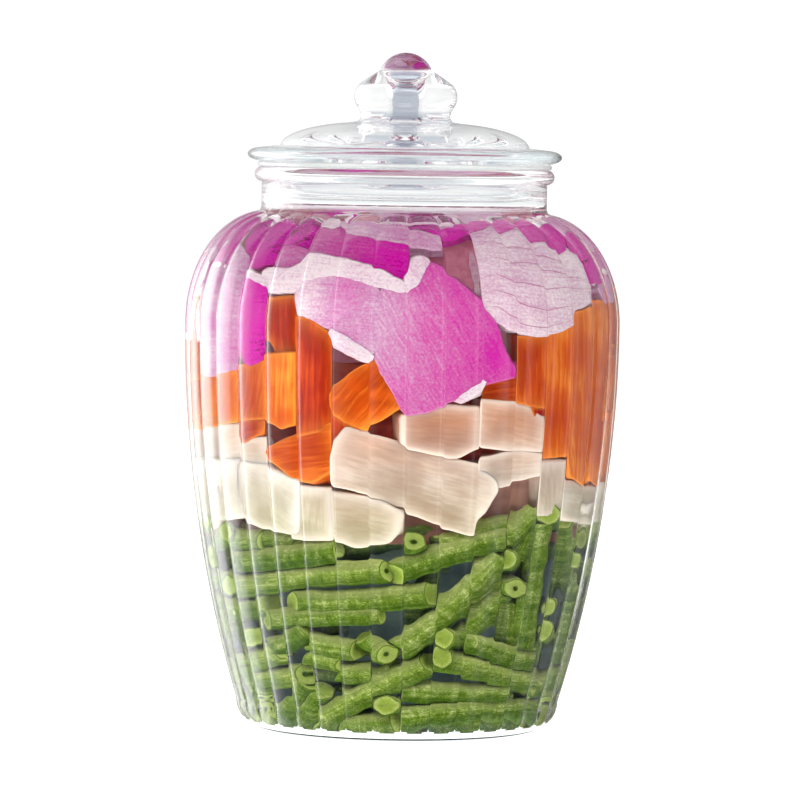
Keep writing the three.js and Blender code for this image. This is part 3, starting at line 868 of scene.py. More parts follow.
def make_beans():
    rng = np.random.default_rng(BEAN_SEED)
    heap = Heap("cut", "along", "round", "shade", "hollow")
    placed = []
    front_beans(heap, rng, placed)
    at_back = (FRONT_EDGE, 2 * math.pi - FRONT_EDGE)
    all_round = (0.0, 2 * math.pi)
    loose_beans(heap, rng, placed, 1600, 0.6, at_back, BEAN_LENGTHS)
    loose_beans(heap, rng, placed, 900, 8.5, all_round, BEAN_LENGTHS)
    loose_beans(heap, np.random.default_rng(FILLER_SEED), placed, 1200, 0.8, at_back, BEAN_ENDS)
    floor_beans(heap, rng)
    return heap.make("green_beans")


def trimmed(here, towards, rounding):
    """A point a little way from a corner towards the next one."""
    return here + (towards - here) * min(rounding / max(np.linalg.norm(towards - here), 1e-6), 0.4)


def rounded_outline(corners, rounding, step):
    """A flat outline with small round corners and points every step along its sides."""
    points = []
    for before, here, after in zip(np.roll(corners, 1, axis=0), corners, np.roll(corners, -1, axis=0)):
        enter = trimmed(here, before, rounding)
        leave = trimmed(here, after, rounding)
        points += [enter, 0.25 * enter + 0.5 * here + 0.25 * leave, leave]
        following = trimmed(after, here, rounding)
        pieces = int(np.linalg.norm(following - leave) / step)
        points += [leave + (following - leave) * k / (pieces + 1) for k in range(1, pieces + 1)]
    return np.array(points)


def add_chunk(heap, corners, thickness, broken, rng, lean, shade=None):
    """A cut block: a flat face near the wall, sides that run inwards and softly broken edges. corners are
    points on the wall; broken is the width of the worn edges and lean tips the face."""
    corners = np.array(corners)
    centre = corners.mean(axis=0)
    _, _, axes = np.linalg.svd(corners - centre)
    normal = axes[2] * np.sign(axes[2] @ outward(centre) or 1.0)
    normal = unit(normal + lean * axes[1])
    first = unit(axes[0] - normal * (axes[0] @ normal))
    second = np.cross(normal, first)
    flat = np.column_stack([(corners - centre) @ first, (corners - centre) @ second])
    outline = rounded_outline(flat, 1.5 * broken, CHUNK_STEP)
    middle = outline.mean(axis=0)
    bevel = broken / np.linalg.norm(outline - middle, axis=1).mean()
    deep = np.linspace(1.2 * broken, thickness - broken, 4)
    slant = rng.normal(0.0, 0.12, 2)
    taper = rng.uniform(0.82, 1.0)
    flat_edge = max(1 - 2.6 * bevel, 0.6)
    levels = [
        (0.5 * flat_edge, 0.0, 0.0),
        (0.8 * flat_edge, 0.0, 0.1),
        (flat_edge, 0.0, 0.35),
        (max(1 - 1.1 * bevel, 0.8), 0.08 * broken, 0.7),
        (max(1 - 0.3 * bevel, 0.92), 0.4 * broken, 1.0),
        (1.0, deep[0], 0.6),
        (1.0, deep[0] + 1.2, 0.0),
        (1.0, deep[1], 0.0),
        (1.0, deep[2], 0.0),
        (1.0, deep[3], 0.5),
        (1 - bevel, thickness, 0.5),
        (0.5, thickness, 0.0),
    ]
    rings = []
    for scale, depth, _ in levels:
        scale = scale * (1 + (taper - 1) * depth / thickness)
        ring = middle + (outline - middle) * scale + slant * depth
        rings.append(centre + ring[:, :1] * first + ring[:, 1:] * second - normal * depth)
    front = centre + middle[0] * first + middle[1] * second
    back = front + slant[0] * thickness * first + slant[1] * thickness * second - normal * thickness
    points = wobble(np.vstack([front, *rings, back]), 7.0, 0.35)
    local = points - centre
    # The third value of each level is how much painted highlight its points get along the worn edges
    edges = np.repeat([edge for _, _, edge in levels], len(outline))
    heap.add(points, ringed_faces(len(levels), len(outline)), edge=capped(edges), long=local @ first,
             wide=local @ second, deep=local @ normal, shade=rng.random() if shade is None else shade)


def layer_height(heights, angle):
    """The height of a layer at an angle round the back, from its heights at the right and the left."""
    share = min(max((angle - FRONT_EDGE) / (2 * math.pi - 2 * FRONT_EDGE), 0.0), 1.0)
    wave = noise.noise(Vector((4.0 * angle, heights[0], heights[1])))
    return heights[0] + (heights[1] - heights[0]) * share + LAYER_WAVE * wave * math.sin(math.pi * share)


def rolled(place, roll):
    """A flat place turned about the origin."""
    x, y = place
    return x * math.cos(roll) - y * math.sin(roll), x * math.sin(roll) + y * math.cos(roll)


def packed_chunks(heap, rng, low, high, columns, rows, thickness, broken, upright):
    """Cut bars that lie over each other in a band round the sides and back, each with its own size and
    turn. low and high are the band's heights at the right and the left, and upright is the share of bars
    that stand."""
    radius = float(wall_at((sum(low) + sum(high)) / 4, WALL)[0])
    start, end = FRONT_EDGE * radius, (2 * math.pi - FRONT_EDGE) * radius
    for column, row in np.ndindex(columns, rows):
        along = start + (end - start) * (column + 0.5 + rng.uniform(-0.3, 0.3)) / columns
        bottom, top = layer_height(low, along / radius), layer_height(high, along / radius)
        up = bottom + (top - bottom) * (row + 0.5 + rng.uniform(-0.15, 0.15)) / rows
        size = np.array([(end - start) / columns, (top - bottom) / rows])
        wide, tall = np.clip(size * rng.uniform(*BAR_SHARES, 2), *BAR_SIZES)
        places = np.array([(-wide, -tall), (wide, -tall), (wide, tall), (-wide, tall)])
        places = places * rng.uniform(0.85, 1.15, (4, 2))
        roll = rng.normal(0.0, 0.2) + (math.pi / 2 if rng.random() < upright else 0.0)
        depth = rng.uniform(*BAR_DEPTHS)
        turned = [rolled(place, roll) for place in places]
        wall = [wall_point((along + aside) / radius, up + climb, depth) for aside, climb in turned]
        add_chunk(heap, wall, thickness * rng.uniform(0.8, 1.15), broken, rng, rng.normal(0.0, 0.12))


def traced(outline, depth, grow):
    """Corners on the wall from an outline in pixels that is grown a little, so that neighbours touch."""
    middle = np.mean(outline, axis=0)
    grown = [np.array(p) + grow * unit(np.array(p) - middle) for p in outline]
    return [seen_point(px, py, depth) for px, py in grown]


def make_chunks(name, seed, front, grow, thickness, bevel, packing):
    """Blocks of one vegetable: those seen from the front, then others packed round the sides and back."""
    rng = np.random.default_rng(seed)
    heap = Heap("edge", "long", "wide", "deep", "shade")
    for outline, depth, shade in front:
        add_chunk(heap, traced(outline, depth, grow), thickness, bevel, rng, rng.normal(0.0, 0.05), shade)
    packed_chunks(heap, rng, *packing)
    return heap.make(name)


def make_radish():
    packing = (BEAN_TOPS, RADISH_TOPS, 12, 2, 13.0, RADISH_BEVEL, 0.1)
    return make_chunks("radish_chunks", RADISH_SEED, FRONT_RADISH, 3.0, 13.0, RADISH_BEVEL, packing)


def make_carrots():
    packing = (RADISH_TOPS, CARROT_TOPS, 15, 3, 12.0, CARROT_BEVEL, 0.35)
    return make_chunks("carrot_chunks", CARROT_SEED, FRONT_CARROT, 2.0, 11.0, CARROT_BEVEL, packing)


def bowed(start, end, bow, share):
    """A point on a side that bows to its left by bow at its middle."""
    along = end - start
    aside = np.array([along[1], -along[0]]) / max(np.linalg.norm(along), 1e-6)
    return start + along * share + aside * bow * 4 * share * (1 - share)


def sheet_place(corners, bows, across, down):
    """A place on a four-sided patch whose sides bow outwards: top, right, bottom and left."""
    c0, c1, c2, c3 = corners
    top = bowed(c0, c1, bows[0], across)
    bottom = bowed(c3, c2, -bows[2], across)
    left = bowed(c0, c3, -bows[3], down)
    right = bowed(c1, c2, bows[1], down)
    flat = (1 - down) * ((1 - across) * c0 + across * c1) + down * ((1 - across) * c3 + across * c2)
    return (1 - down) * top + down * bottom + (1 - across) * left + across * right - flat


def between(values, across, down):
    """The value at a place on a patch from the values at its four corners."""
    upper = values[0] + (values[1] - values[0]) * across
    lower = values[3] + (values[2] - values[3]) * across
    return upper + (lower - upper) * down


def sheet_faces(columns, rows):
    """Faces of a closed sheet: a front grid, a back grid and a border ring between them."""
    grid = np.arange(columns * rows).reshape(rows, columns)
    back = grid + columns * rows
    border = [*grid[0], *grid[1:, -1], *grid[-1, -2::-1], *grid[-2:0:-1, 0]]
    middle = 2 * columns * rows + np.arange(len(border))
    faces = []
    for row in range(rows - 1):
        for column in range(columns - 1):
            a, b = grid[row, column], grid[row, column + 1]
            c, d = grid[row + 1, column + 1], grid[row + 1, column]
            faces.append([d, c, b, a])
            faces.append([int(v) + columns * rows for v in (a, b, c, d)])
    for i, here in enumerate(border):
        j = (i + 1) % len(border)
        faces.append([here, border[j], middle[j], middle[i]])
        faces.append([middle[i], middle[j], back[0, 0] + border[j], back[0, 0] + here])
    return [[int(v) for v in face] for face in faces], border


def laid_out(sizes, *values):
    """One value for each point of a petal, from the values on its front, its back and its border."""
    return np.concatenate([np.broadcast_to(value, size) for value, size in zip(values, sizes)])


def add_sheet(heap, front, thickness, reds, rims, rng):
    """A petal from its front grid of points (rows, columns): a sheet that is rounded at its border. reds are
    how red it is at its corners, and rims the widths of the white cut edges on its sides."""
    rows, columns = front.shape[:2]
    normals = np.cross(np.gradient(front, axis=0), np.gradient(front, axis=1))
    normals /= np.maximum(np.linalg.norm(normals, axis=2, keepdims=True), 1e-9)
    middle = front.reshape(-1, 3).mean(axis=0)
    if normals.reshape(-1, 3).mean(axis=0) @ outward(middle) < 0:
        normals = -normals
    faces, border = sheet_faces(columns, rows)
    flat_front = front.reshape(-1, 3)
    flat_back = (front - normals * thickness).reshape(-1, 3)
    edge = (flat_front[border] + flat_back[border]) / 2
    spread = edge - middle
    spread /= np.maximum(np.linalg.norm(spread, axis=1, keepdims=True), 1e-9)
    edge = edge + spread * min(0.35 * thickness, 1.2)
    points = wobble(np.vstack([flat_front, flat_back, edge]), 9.0, 0.5)
    u, v = np.meshgrid(np.linspace(0, 1, columns), np.linspace(0, 1, rows))
    wide = np.linalg.norm(front[0, -1] - front[0, 0]) + np.linalg.norm(front[-1, -1] - front[-1, 0])
    tall = np.linalg.norm(front[-1, 0] - front[0, 0]) + np.linalg.norm(front[-1, -1] - front[0, -1])
    wide, tall = wide / 2, tall / 2
    rim = np.zeros_like(u)
    for width, distance in zip(rims, (v * tall, (1 - u) * wide, (1 - v) * tall, u * wide)):
        if width:
            rim = np.maximum(rim, np.clip(1.5 - distance / width, 0.0, 1.0))
    red = between(reds, u, v)
    sizes = (u.size, u.size, len(border))
    heap.add(points, faces, red=laid_out(sizes, red.ravel(), 0.25, 0.0),
             rim=laid_out(sizes, rim.ravel(), 0.3, 1.0), line=0.0,
             long=laid_out(sizes, (v * tall).ravel(), 0.0, 0.0),
             wide=laid_out(sizes, (u * wide).ravel(), 0.0, 0.0), shade=rng.random())


def smoothed(corners, passes):
    """A closed outline whose corners are cut off again and again, which rounds them."""
    points = np.array(corners, dtype=float)
    for _ in range(passes):
        after = np.roll(points, -1, axis=0)
        points = np.stack([0.75 * points + 0.25 * after, 0.25 * points + 0.75 * after], axis=1).reshape(-1, 2)
    return points


def spaced(points, step, closed=True):
    """Points at even distances along a path."""
    path = np.vstack([points, points[:1]]) if closed else np.array(points, dtype=float)
    lengths = np.concatenate([[0.0], np.cumsum(np.linalg.norm(np.diff(path, axis=0), axis=1))])
    count = max(int(lengths[-1] / step), 8)
    places = np.arange(count) / (count if closed else count - 1) * lengths[-1]
    return np.column_stack([np.interp(places, lengths, path[:, k]) for k in (0, 1)])


def beside(points, closed=True):
    """Unit vectors to the right of a path at each of its points."""
    ahead = np.roll(points, -1, axis=0) - np.roll(points, 1, axis=0)
    if not closed:
        ahead = np.gradient(points, axis=0)
    right = np.column_stack([ahead[:, 1], -ahead[:, 0]])
    return right / np.maximum(np.linalg.norm(right, axis=1, keepdims=True), 1e-9)


def within(border, places):
    """Which places lie inside a closed outline."""
    inside = np.zeros(len(places), dtype=bool)
    for here, after in zip(border, np.roll(border, -1, axis=0)):
        spans = (here[1] > places[:, 1]) != (after[1] > places[:, 1])
        rise = after[1] - here[1] or 1e-9
        cross = here[0] + (places[:, 1] - here[1]) * (after[0] - here[0]) / rise
        inside ^= spans & (places[:, 0] < cross)
    return inside


def filled(border, step):
    """Points and triangles that fill a closed outline. The outline's own points come first."""
    low, high = border.min(axis=0), border.max(axis=0)
    grid = np.stack(np.meshgrid(np.arange(low[0], high[0], step), np.arange(low[1], high[1], step)), axis=-1)
    grid = grid.reshape(-1, 2)
    grid = grid[within(border, grid)]
    apart = np.linalg.norm(grid[:, None] - border[None], axis=2).min(axis=1, initial=math.inf)
    places = np.vstack([border, grid[apart > 0.7 * step]])
    count = len(border)
    sides = [(i, (i + 1) % count) for i in range(count)]
    made = delaunay_2d_cdt([Vector(p) for p in places], sides, [], 1, 1e-5)
    return np.array(made[0]), [list(face) for face in made[2]]


def front_petal(heap, petal, rng):
    """A petal seen from the front: a curved sheet with an uneven outline and a rounded border."""
    outline, controls, fibres, thickness = petal
    border = spaced(smoothed(outline, 2), PETAL_STEP)
    torn = [noise.noise(Vector((px / 7.0, py / 7.0, thickness))) for px, py in border]
    border = border + beside(border) * 1.3 * np.array(torn)[:, None]
    turned = np.sum(border[:, 0] * np.roll(border[:, 1], -1) - border[:, 1] * np.roll(border[:, 0], -1)) > 0
    aside = beside(border) * (1.0 if turned else -1.0)
    border = border + aside
    places, faces = filled(border, 1.6 * PETAL_STEP)
    controls = np.array(controls, dtype=float)
    weights = 1 / (((places[:, None] - controls[None, :, :2]) ** 2).sum(axis=2) + 60.0)
    weights /= weights.sum(axis=1, keepdims=True)
    depths = weights @ controls[:, 2]
    reds = weights @ controls[:, 3]
    spots = [(*seen(px, py, depth), depth) for (px, py), depth in zip(places, depths)]
    front = np.array([wall_point(angle, up, depth) for angle, up, depth in spots])
    back = np.array([wall_point(angle, up, depth + thickness) for angle, up, depth in spots])
    edge_places = zip(border + 1.5 * aside, depths)
    edge = [seen_point(px, py, depth + thickness / 2) for (px, py), depth in edge_places]
    count, total = len(border), len(places)
    points = wobble(np.vstack([front, back, front[:count], edge, back[:count]]), 8.0, 0.35)
    skin = [face[::-1] for face in faces] + [[i + total for i in face] for face in faces]
    for i in range(count):
        j = (i + 1) % count
        for first in (2 * total, 2 * total + count):
            skin.append([first + i, first + j, first + count + j, first + count + i])
    along, across = [place * PIXEL for place in rolled(places.T, -math.radians(fibres))]

    def everywhere(on_front, on_back, on_edge):
        return laid_out((total, total, count, count, count), on_front, on_back, on_edge, on_edge, on_edge)

    heap.add(points, skin, red=everywhere(reds, 0.25, reds[:count] * 0.9), rim=everywhere(0.0, 0.3, 0.0),
             line=0.0, long=everywhere(along, along, along[:count]),
             wide=everywhere(across, across, across[:count]), shade=rng.random())


def root_lines(heap, rng):
    """Thin skins between the layers of the root end."""
    for path in ROOT_LINES:
        middle = spaced(path, 2.5, False)
        wave = np.array([noise.noise(Vector((px / 9.0, py / 9.0, 0.0))) for px, py in middle])
        middle = middle + beside(middle, False) * 0.8 * wave[:, None]
        count = len(middle)
        half = 0.4 * np.sin(np.linspace(0.15, math.pi - 0.15, count))[:, None]
        right = beside(middle, False)
        rows = [(middle - half * right, 0.6), (middle, 0.5), (middle + half * right, 0.6)]
        points = [seen_point(px, py, depth) for row, depth in rows for px, py in row]
        faces = []
        for row in range(2):
            low = row * count
            faces += [[low + i, low + i + 1, low + count + i + 1, low + count + i] for i in range(count - 1)]
        heap.add(np.array(points), faces, red=0.35, rim=0.0, line=0.5, long=0.0, wide=0.0, shade=rng.random())


def petal_grid(wide, tall, bows, roll, spot):
    """The front of a four-sided petal. spot gives the point for a place on it, once that has been rolled,
    and for its shares across and down."""
    corners = np.array([(-wide, tall), (wide, tall), (wide * 0.8, -tall), (-wide * 0.8, -tall)]) / 2
    grid = np.empty((PETAL_ROWS, PETAL_COLUMNS, 3))
    for row, down in enumerate(np.linspace(0, 1, PETAL_ROWS)):
        for column, across in enumerate(np.linspace(0, 1, PETAL_COLUMNS)):
            place = rolled(sheet_place(corners, bows, across, down), roll)
            grid[row, column] = spot(*place, across, down)
    return grid


def loose_petals(heap, rng):
    """Petals that lie over each other round the sides and back, each with its own turn and hollow."""
    spread = 2 * math.pi - 2 * FRONT_EDGE
    for above, count in LOOSE_ROWS:
        radius = float(wall_at(CARROT_TOP + above, WALL)[0])
        for k in range(count):
            angle = FRONT_EDGE + spread * (k + 0.5 + rng.uniform(-0.35, 0.35)) / count
            up = CARROT_TOP + above + rng.uniform(-5.0, 5.0)
            if up < layer_height(CARROT_TOPS, angle) + 10.0:
                continue
            wide, tall = rng.uniform(22.0, 36.0), rng.uniform(18.0, 32.0)
            roll = rng.uniform(-0.9, 0.9)
            depth, hollow = rng.uniform(0.6, 3.5), rng.uniform(-2.0, 3.0)
            bows = rng.uniform(-2.0, 5.0, 4)

            def spot(aside, climb, across, _):
                sink = depth + hollow * (2 * across - 1) ** 2
                return wall_point(angle + aside / radius, min(up + climb, UP_SAMPLES[-1]), max(sink, 0.4))

            grid = petal_grid(wide, tall, -bows, roll, spot)
            red = rng.choice([0.3, 0.6, 0.8, 0.95])
            reds = np.clip(red + rng.uniform(-0.2, 0.2, 4), 0.0, 1.0)
            rims = rng.choice([0.0, 0.0, 0.0, 1.5], 4)
            add_sheet(heap, grid, rng.uniform(2.6, 4.2), reds, rims, rng)


def top_petals(heap, rng):
    """Petals that lie on top of the heap, just under the brine's surface."""
    for _ in range(TOP_PETALS):
        reach, angle = 36.0 * math.sqrt(rng.random()), rng.uniform(0, 2 * math.pi)
        wide, tall = rng.uniform(24.0, 40.0), rng.uniform(16.0, 26.0)
        roll, dome = rng.uniform(0, 2 * math.pi), rng.uniform(3.0, 6.0)
        height = BRINE_TOP - rng.uniform(3.0, 9.0)

        def spot(aside, away, across, down):
            drop = dome * (2 * down - 1) ** 2 + 0.4 * dome * (2 * across - 1) ** 2
            return aside + reach * math.sin(angle), away - reach * math.cos(angle), height - drop

        grid = petal_grid(wide, tall, (2, 2, 2, 2), roll, spot)
        red = rng.choice([0.7, 0.9, 1.0, 1.04])
        rims = rng.choice([0.0, 0.0, 0.0, 0.8], 4)
        add_sheet(heap, grid, rng.uniform(2.6, 4.0), (red, red, red, red), rims, rng)


def make_onions():
    rng = np.random.default_rng(ONION_SEED)
    heap = Heap("red", "rim", "line", "long", "wide", "shade")
    for petal in FRONT_PETALS:
        front_petal(heap, petal, rng)
    root_lines(heap, rng)
    loose_petals(heap, rng)
    top_petals(heap, rng)
    return heap.make("onion_petals")


def make_core(name, low, high, inset):
    """A lumpy filling behind the pieces of one layer."""
    heights = np.linspace(low, high, 14)
    side = [(float(np.interp(z, *inside_curve())) - inset, z) for z in heights]
    profile = [(0.0, low), *line((side[0][0] / 4, low), side[0], 3), *side]
    profile += [*line(side[-1], (0.0, high), 4)[1:], (0.0, high)]
    angles = even_angles(120)
    lumps = np.zeros((len(profile), len(angles)))
    for i, (r, z) in enumerate(profile):
        for j, angle in enumerate(angles):
            spot = Vector((r * math.sin(angle), -r * math.cos(angle), z))
            lumps[i, j] = 2.2 * noise.noise(spot / 9.0) * min(r / 10.0, 1.0)
    return turned_mesh(name, profile, angles, lumps)


def inside_curve():
    """Heights and radii of the crock's inside above its floor."""
    points = np.array([p for p in inside_profile() if p[0] > 5.0])
    order = np.argsort(points[:, 1], kind="stable")
    return points[order, 1], points[order, 0]


def make_ring():
    """The sealing ring: a flat band with a bulging outer lip and a shallow groove on top."""
    middle = (RING_BOTTOM + RING_TOP) / 2
    half = (RING_TOP - RING_BOTTOM) / 2
    inner = RING_OUTER - RING_WIDTH
    groove = RING_OUTER - RING_WIDTH / 2
    profile = [
        *arc(RING_OUTER - half, middle, half, half, -90, 90, 10),
        *arc(groove, RING_TOP, 0.8, 0.35, 0, -180, 8),
        *arc(inner + half, middle, half, half, 90, 270, 10),
    ]
    return turned_mesh("sealing_ring", profile, even_angles(ROUND_COLUMNS))


def srgb(red, green, blue):
    """A colour as it looks on a screen, 0 to 255, for a shader's socket."""
    shares = [c / 255 for c in (red, green, blue)]
    return (*[s / 12.92 if s <= 0.04045 else ((s + 0.055) / 1.055) ** 2.4 for s in shares], 1.0)


def material(name):
    made = bpy.data.materials.new(name)
    made.use_nodes = True
    return made, made.node_tree


def principled(tree):
    return next(n for n in tree.nodes if n.type == "BSDF_PRINCIPLED")


class Signal:
    """The output of a shader node. Sums and products of signals are further nodes."""

    def __init__(self, tree, socket):
        self.tree = tree
        self.socket = socket

    def maths(self, operation, other):
        return node(self.tree, "Math", 0, {0: self, 1: other}, operation=operation)

    def __add__(self, other):
        return self.maths("ADD", other)

    def __sub__(self, other):
        return self.maths("SUBTRACT", other)

    def __mul__(self, other):
        return self.maths("MULTIPLY", other)

    def __truediv__(self, other):
        return self.maths("DIVIDE", other)


def feed(target, inputs):
    """Set a node's inputs to numbers and colours, or link them to signals."""
    for socket, value in inputs.items():
        if isinstance(value, Signal):
            value.tree.links.new(value.socket, target.inputs[socket])
        else:
            target.inputs[socket].default_value = value


def node(tree, kind, output, inputs, **settings):
    """An output of a new shader node, as a signal."""
    made = tree.nodes.new("ShaderNode" + kind)
    for name, value in settings.items():
        setattr(made, name, value)
    feed(made, inputs)
    return Signal(tree, made.outputs[output])


def attribute(tree, name):
    return node(tree, "Attribute", "Fac", {}, attribute_name=name)


def vector_of(x, y, z):
    return node(x.tree, "CombineXYZ", 0, {"X": x, "Y": y, "Z": z})


def place_in_object(tree):
    return node(tree, "TexCoord", "Object", {})


def part_of(vector, axis):
    return node(vector.tree, "SeparateXYZ", axis, {0: vector})


def clouds(vector, scale, detail=3.0, rough=0.55):
    inputs = {"Vector": vector, "Scale": scale, "Detail": detail, "Roughness": rough}
    return node(vector.tree, "TexNoise", "Fac", inputs)


def stop_colour(numbers):
    """A grey level, red, green and blue as they look on a screen, or a shader's own four numbers."""
    if len(numbers) == 1:
        return grey(*numbers)
    return srgb(*numbers) if len(numbers) == 3 else numbers


def ramp(value, *stops):
    """A colour for each value. A stop is a place and the numbers of its colour."""
    made = value.tree.nodes.new("ShaderNodeValToRGB")
    feed(made, {"Fac": value})
    elements = made.color_ramp.elements
    while len(elements) < len(stops):
        elements.new(0.5)
    for element, (place, *numbers) in zip(elements, stops):
        element.position = place
        element.color = stop_colour(numbers)
    return Signal(value.tree, made.outputs["Color"])


def mixed(share, first, second):
    return node(share.tree, "Mix", 2, {0: share, 6: first, 7: second}, data_type="RGBA")


def mixed_by(first, second):
    """One colour multiplied by another."""
    inputs = {0: 1.0, 6: first, 7: second}
    return node(first.tree, "Mix", 2, inputs, data_type="RGBA", blend_type="MULTIPLY")


def bumped(shader, height, strength, distance):
    inputs = {"Height": height, "Strength": strength, "Distance": distance}
    feed(shader, {"Normal": node(height.tree, "Bump", "Normal", inputs)})


BLACK = (0, 0, 0, 1)
WHITE = (1, 1, 1, 1)


def grey(level):
    return (level, level, level, 1)


def wet(colour, roughness, through, through_radius):
    """Settings of a wet vegetable: its colour, a little light scattered inside it, and hardly any gloss, as
    it lies in brine."""
    shader = principled(colour.tree)
    feed(shader, {"Base Color": colour, "Roughness": roughness, "Specular IOR Level": 0.15,
                  "Subsurface Weight": through, "Subsurface Scale": through_radius,
                  "Subsurface Radius": (1.0, 0.7, 0.5)})
    return shader


def painted_depth_shade(colour, near, far, depth_shade):
    """A colour that sinks into painted shade, darker the deeper a piece lies, from one depth behind the wall
    to another, in millimetres.
    """
    deep = (attribute(colour.tree, "sunk") - near) / (far - near)
    return mixed(ramp(deep, (0.0, 0.0), (1.0, 0.92)), colour, depth_shade)


def shaded(colour, reach, dark):
    """A colour with painted shade: it darkens in the gaps between the pieces of a heap, out to a reach in
    metres.
    """
    free = node(colour.tree, "AmbientOcclusion", "AO", {"Distance": reach}, samples=4, only_local=True)
    return mixed_by(colour, ramp(free, (0.15, *dark), (0.75, 1.0)))


def painted_top_light(colour, below, above):
    """A colour with painted light from above: painted shade makes it deeper where a piece faces down, and a
    painted highlight makes it paler where it faces up.
    """
    facing = part_of(node(colour.tree, "NewGeometry", "Normal", {}), "Z") * 0.5 + 0.5
    colour = mixed_by(colour, ramp(facing, (0.12, *below), (0.5, 1.0)))
    return mixed(ramp(facing, (0.5, 0.0), (0.95, 0.6)), colour, above)


def painted_glow(shader, colour, strength):
    """A painted glow: emission in the flesh's own colour that stands for a little of the light that comes
    through pale flesh from behind.
    """
    feed(shader, {"Emission Color": colour, "Emission Strength": strength})


def bean_look():
    """Bean skin: fine crinkles and faint lines along the pod, and cut ends that are paler or hollow."""
    made, tree = material("green_bean")
    shade, along, around = [attribute(tree, name) for name in ("shade", "along", "round")]
    apart = shade * 50.0
    crinkles = clouds(vector_of(along * 0.7, around, apart), 2.2, 3.0, 0.7)
    folds = clouds(vector_of(along, around * 0.4, apart), 0.5, 2.0, 0.5)
    stripes = clouds(vector_of(along * 0.06, around, apart), 0.7, 2.0, 0.5)
    tone = crinkles * 0.45 + stripes * 0.25 + folds * 0.3
    # Skin tones: the pod's own greens, with painted highlights on the crinkles in the palest stops
    skin = ramp(tone, (0.36, 60, 90, 12), (0.46, 98, 130, 32), (0.53, 128, 158, 56), (0.6, 196, 212, 124),
                (0.68, 236, 240, 170))
    older = ramp(tone, (0.36, 104, 134, 34), (0.46, 146, 174, 66), (0.53, 184, 206, 98), (0.6, 232, 238, 158),
                 (0.68, 252, 252, 206))
    # Painted light from above on the skin: paler on top, deeper underneath
    skin = painted_top_light(mixed(shade, skin, older), (146, 164, 122), srgb(222, 228, 148))
    cut = attribute(tree, "cut") * 0.5
    rind = ((0.47, 92, 122, 26), (0.5, 100, 132, 30))
    filling = ramp(cut, (0.0, 190, 210, 100), (0.2, 172, 198, 80), (0.3, 180, 204, 90), (0.42, 210, 224, 128),
                   *rind)
    # A hollow end has a painted dark middle, the shade inside the pod
    opened = ramp(cut, (0.0, 30, 46, 14), (0.1, 56, 82, 24), (0.15, 180, 202, 100), (0.42, 196, 214, 114),
                  *rind)
    flesh = mixed(attribute(tree, "hollow"), filling, opened)
    flesh = mixed(ramp(crinkles, (0.42, 0.0), (0.75, 0.6)), flesh, srgb(112, 142, 40))
    colour = mixed(ramp(cut, (0.49, 0.0), (0.54, 1.0)), flesh, skin)
    # Painted shade in the gaps between the beans
    colour = shaded(colour, 0.005, (60, 80, 44))
    # Painted shade on beans that lie deeper behind the wall
    colour = painted_depth_shade(colour, 7.0, 14.0, srgb(62, 80, 82))
    shader = wet(colour, 0.5, 0.0, 0.001)
    bumped(shader, tone, 0.7, 0.001)
    return made


def grain_vector(tree, along, across):
    """Places in a block, drawn out along its fibres."""
    long, wide, deep = [attribute(tree, name) for name in ("long", "wide", "deep")]
    return vector_of(long * along, wide * across, deep * across)


def radish_look():
    """White radish, with painted light by height: painted shade and green reflected light towards the beans
    below it, and painted pink reflected light from what lies above.
    """
    made, tree = material("white_radish")
    fibres = clouds(grain_vector(tree, 0.1, 0.9), 1.0)
    patches = clouds(place_in_object(tree), 70.0)
    tone = fibres * 0.35 + patches * 0.65
    flesh = ramp(tone, (0.3, 150, 121, 106), (0.5, 169, 147, 130), (0.7, 200, 185, 170))
    whiter = ramp(tone, (0.3, 174, 160, 145), (0.5, 193, 184, 170), (0.7, 220, 216, 206))
    colour = mixed(attribute(tree, "shade"), flesh, whiter)
    # Painted light by height: greenish shade low down, pink reflected light high up
    height = part_of(place_in_object(tree), "Z") + patches * 0.012
    painted_bounce_light = ramp((height - 0.07) * 22.0, (0.0, 186, 196, 156), (0.3, 232, 232, 214), (0.6, 1.0),
                (1.0, 255, 210, 188))
    colour = mixed_by(colour, painted_bounce_light)
    # Painted highlight along the worn edges of the radish pieces
    colour = mixed(attribute(tree, "edge") * 0.6, colour, srgb(238, 226, 214))
    # Painted shade in the gaps between the radish pieces
    colour = shaded(colour, 0.004, (224, 188, 168))
    # Painted shade on radish that lies deeper behind the wall
    colour = painted_depth_shade(colour, 5.0, 14.0, srgb(128, 100, 88))
    shader = wet(colour, 0.45, 0.6, 0.008)
    # A painted glow in the radish's own colour
    painted_glow(shader, colour, 0.06)
    bumped(shader, fibres, 0.12, 0.0006)
    return made


def carrot_look():
    made, tree = material("carrot")
    fibres = clouds(grain_vector(tree, 0.05, 0.8), 1.0)
    patches = clouds(place_in_object(tree), 60.0, 2.0)
    tone = fibres * 0.5 + patches * 0.5
    deep = ramp(tone, (0.32, 104, 4, 0), (0.5, 140, 14, 0), (0.68, 196, 58, 8))
    light = ramp(tone, (0.32, 182, 58, 0), (0.5, 206, 92, 11), (0.68, 240, 156, 52))
    colour = mixed(attribute(tree, "shade"), deep, light)
    # Painted highlight along the worn edges of the carrot pieces
    colour = mixed(attribute(tree, "edge") * 0.45, colour, srgb(248, 156, 62))
    # Painted shade in the gaps between the carrot pieces
    colour = shaded(colour, 0.004, (206, 140, 120))
    # Painted shade on carrot that lies deeper behind the wall
    colour = painted_depth_shade(colour, 5.0, 14.0, srgb(112, 26, 14))
    shader = wet(colour, 0.45, 0.3, 0.005)
    # A painted glow in the carrot's own colour
    painted_glow(shader, colour, 0.06)
    bumped(shader, fibres, 0.15, 0.0006)
    return made


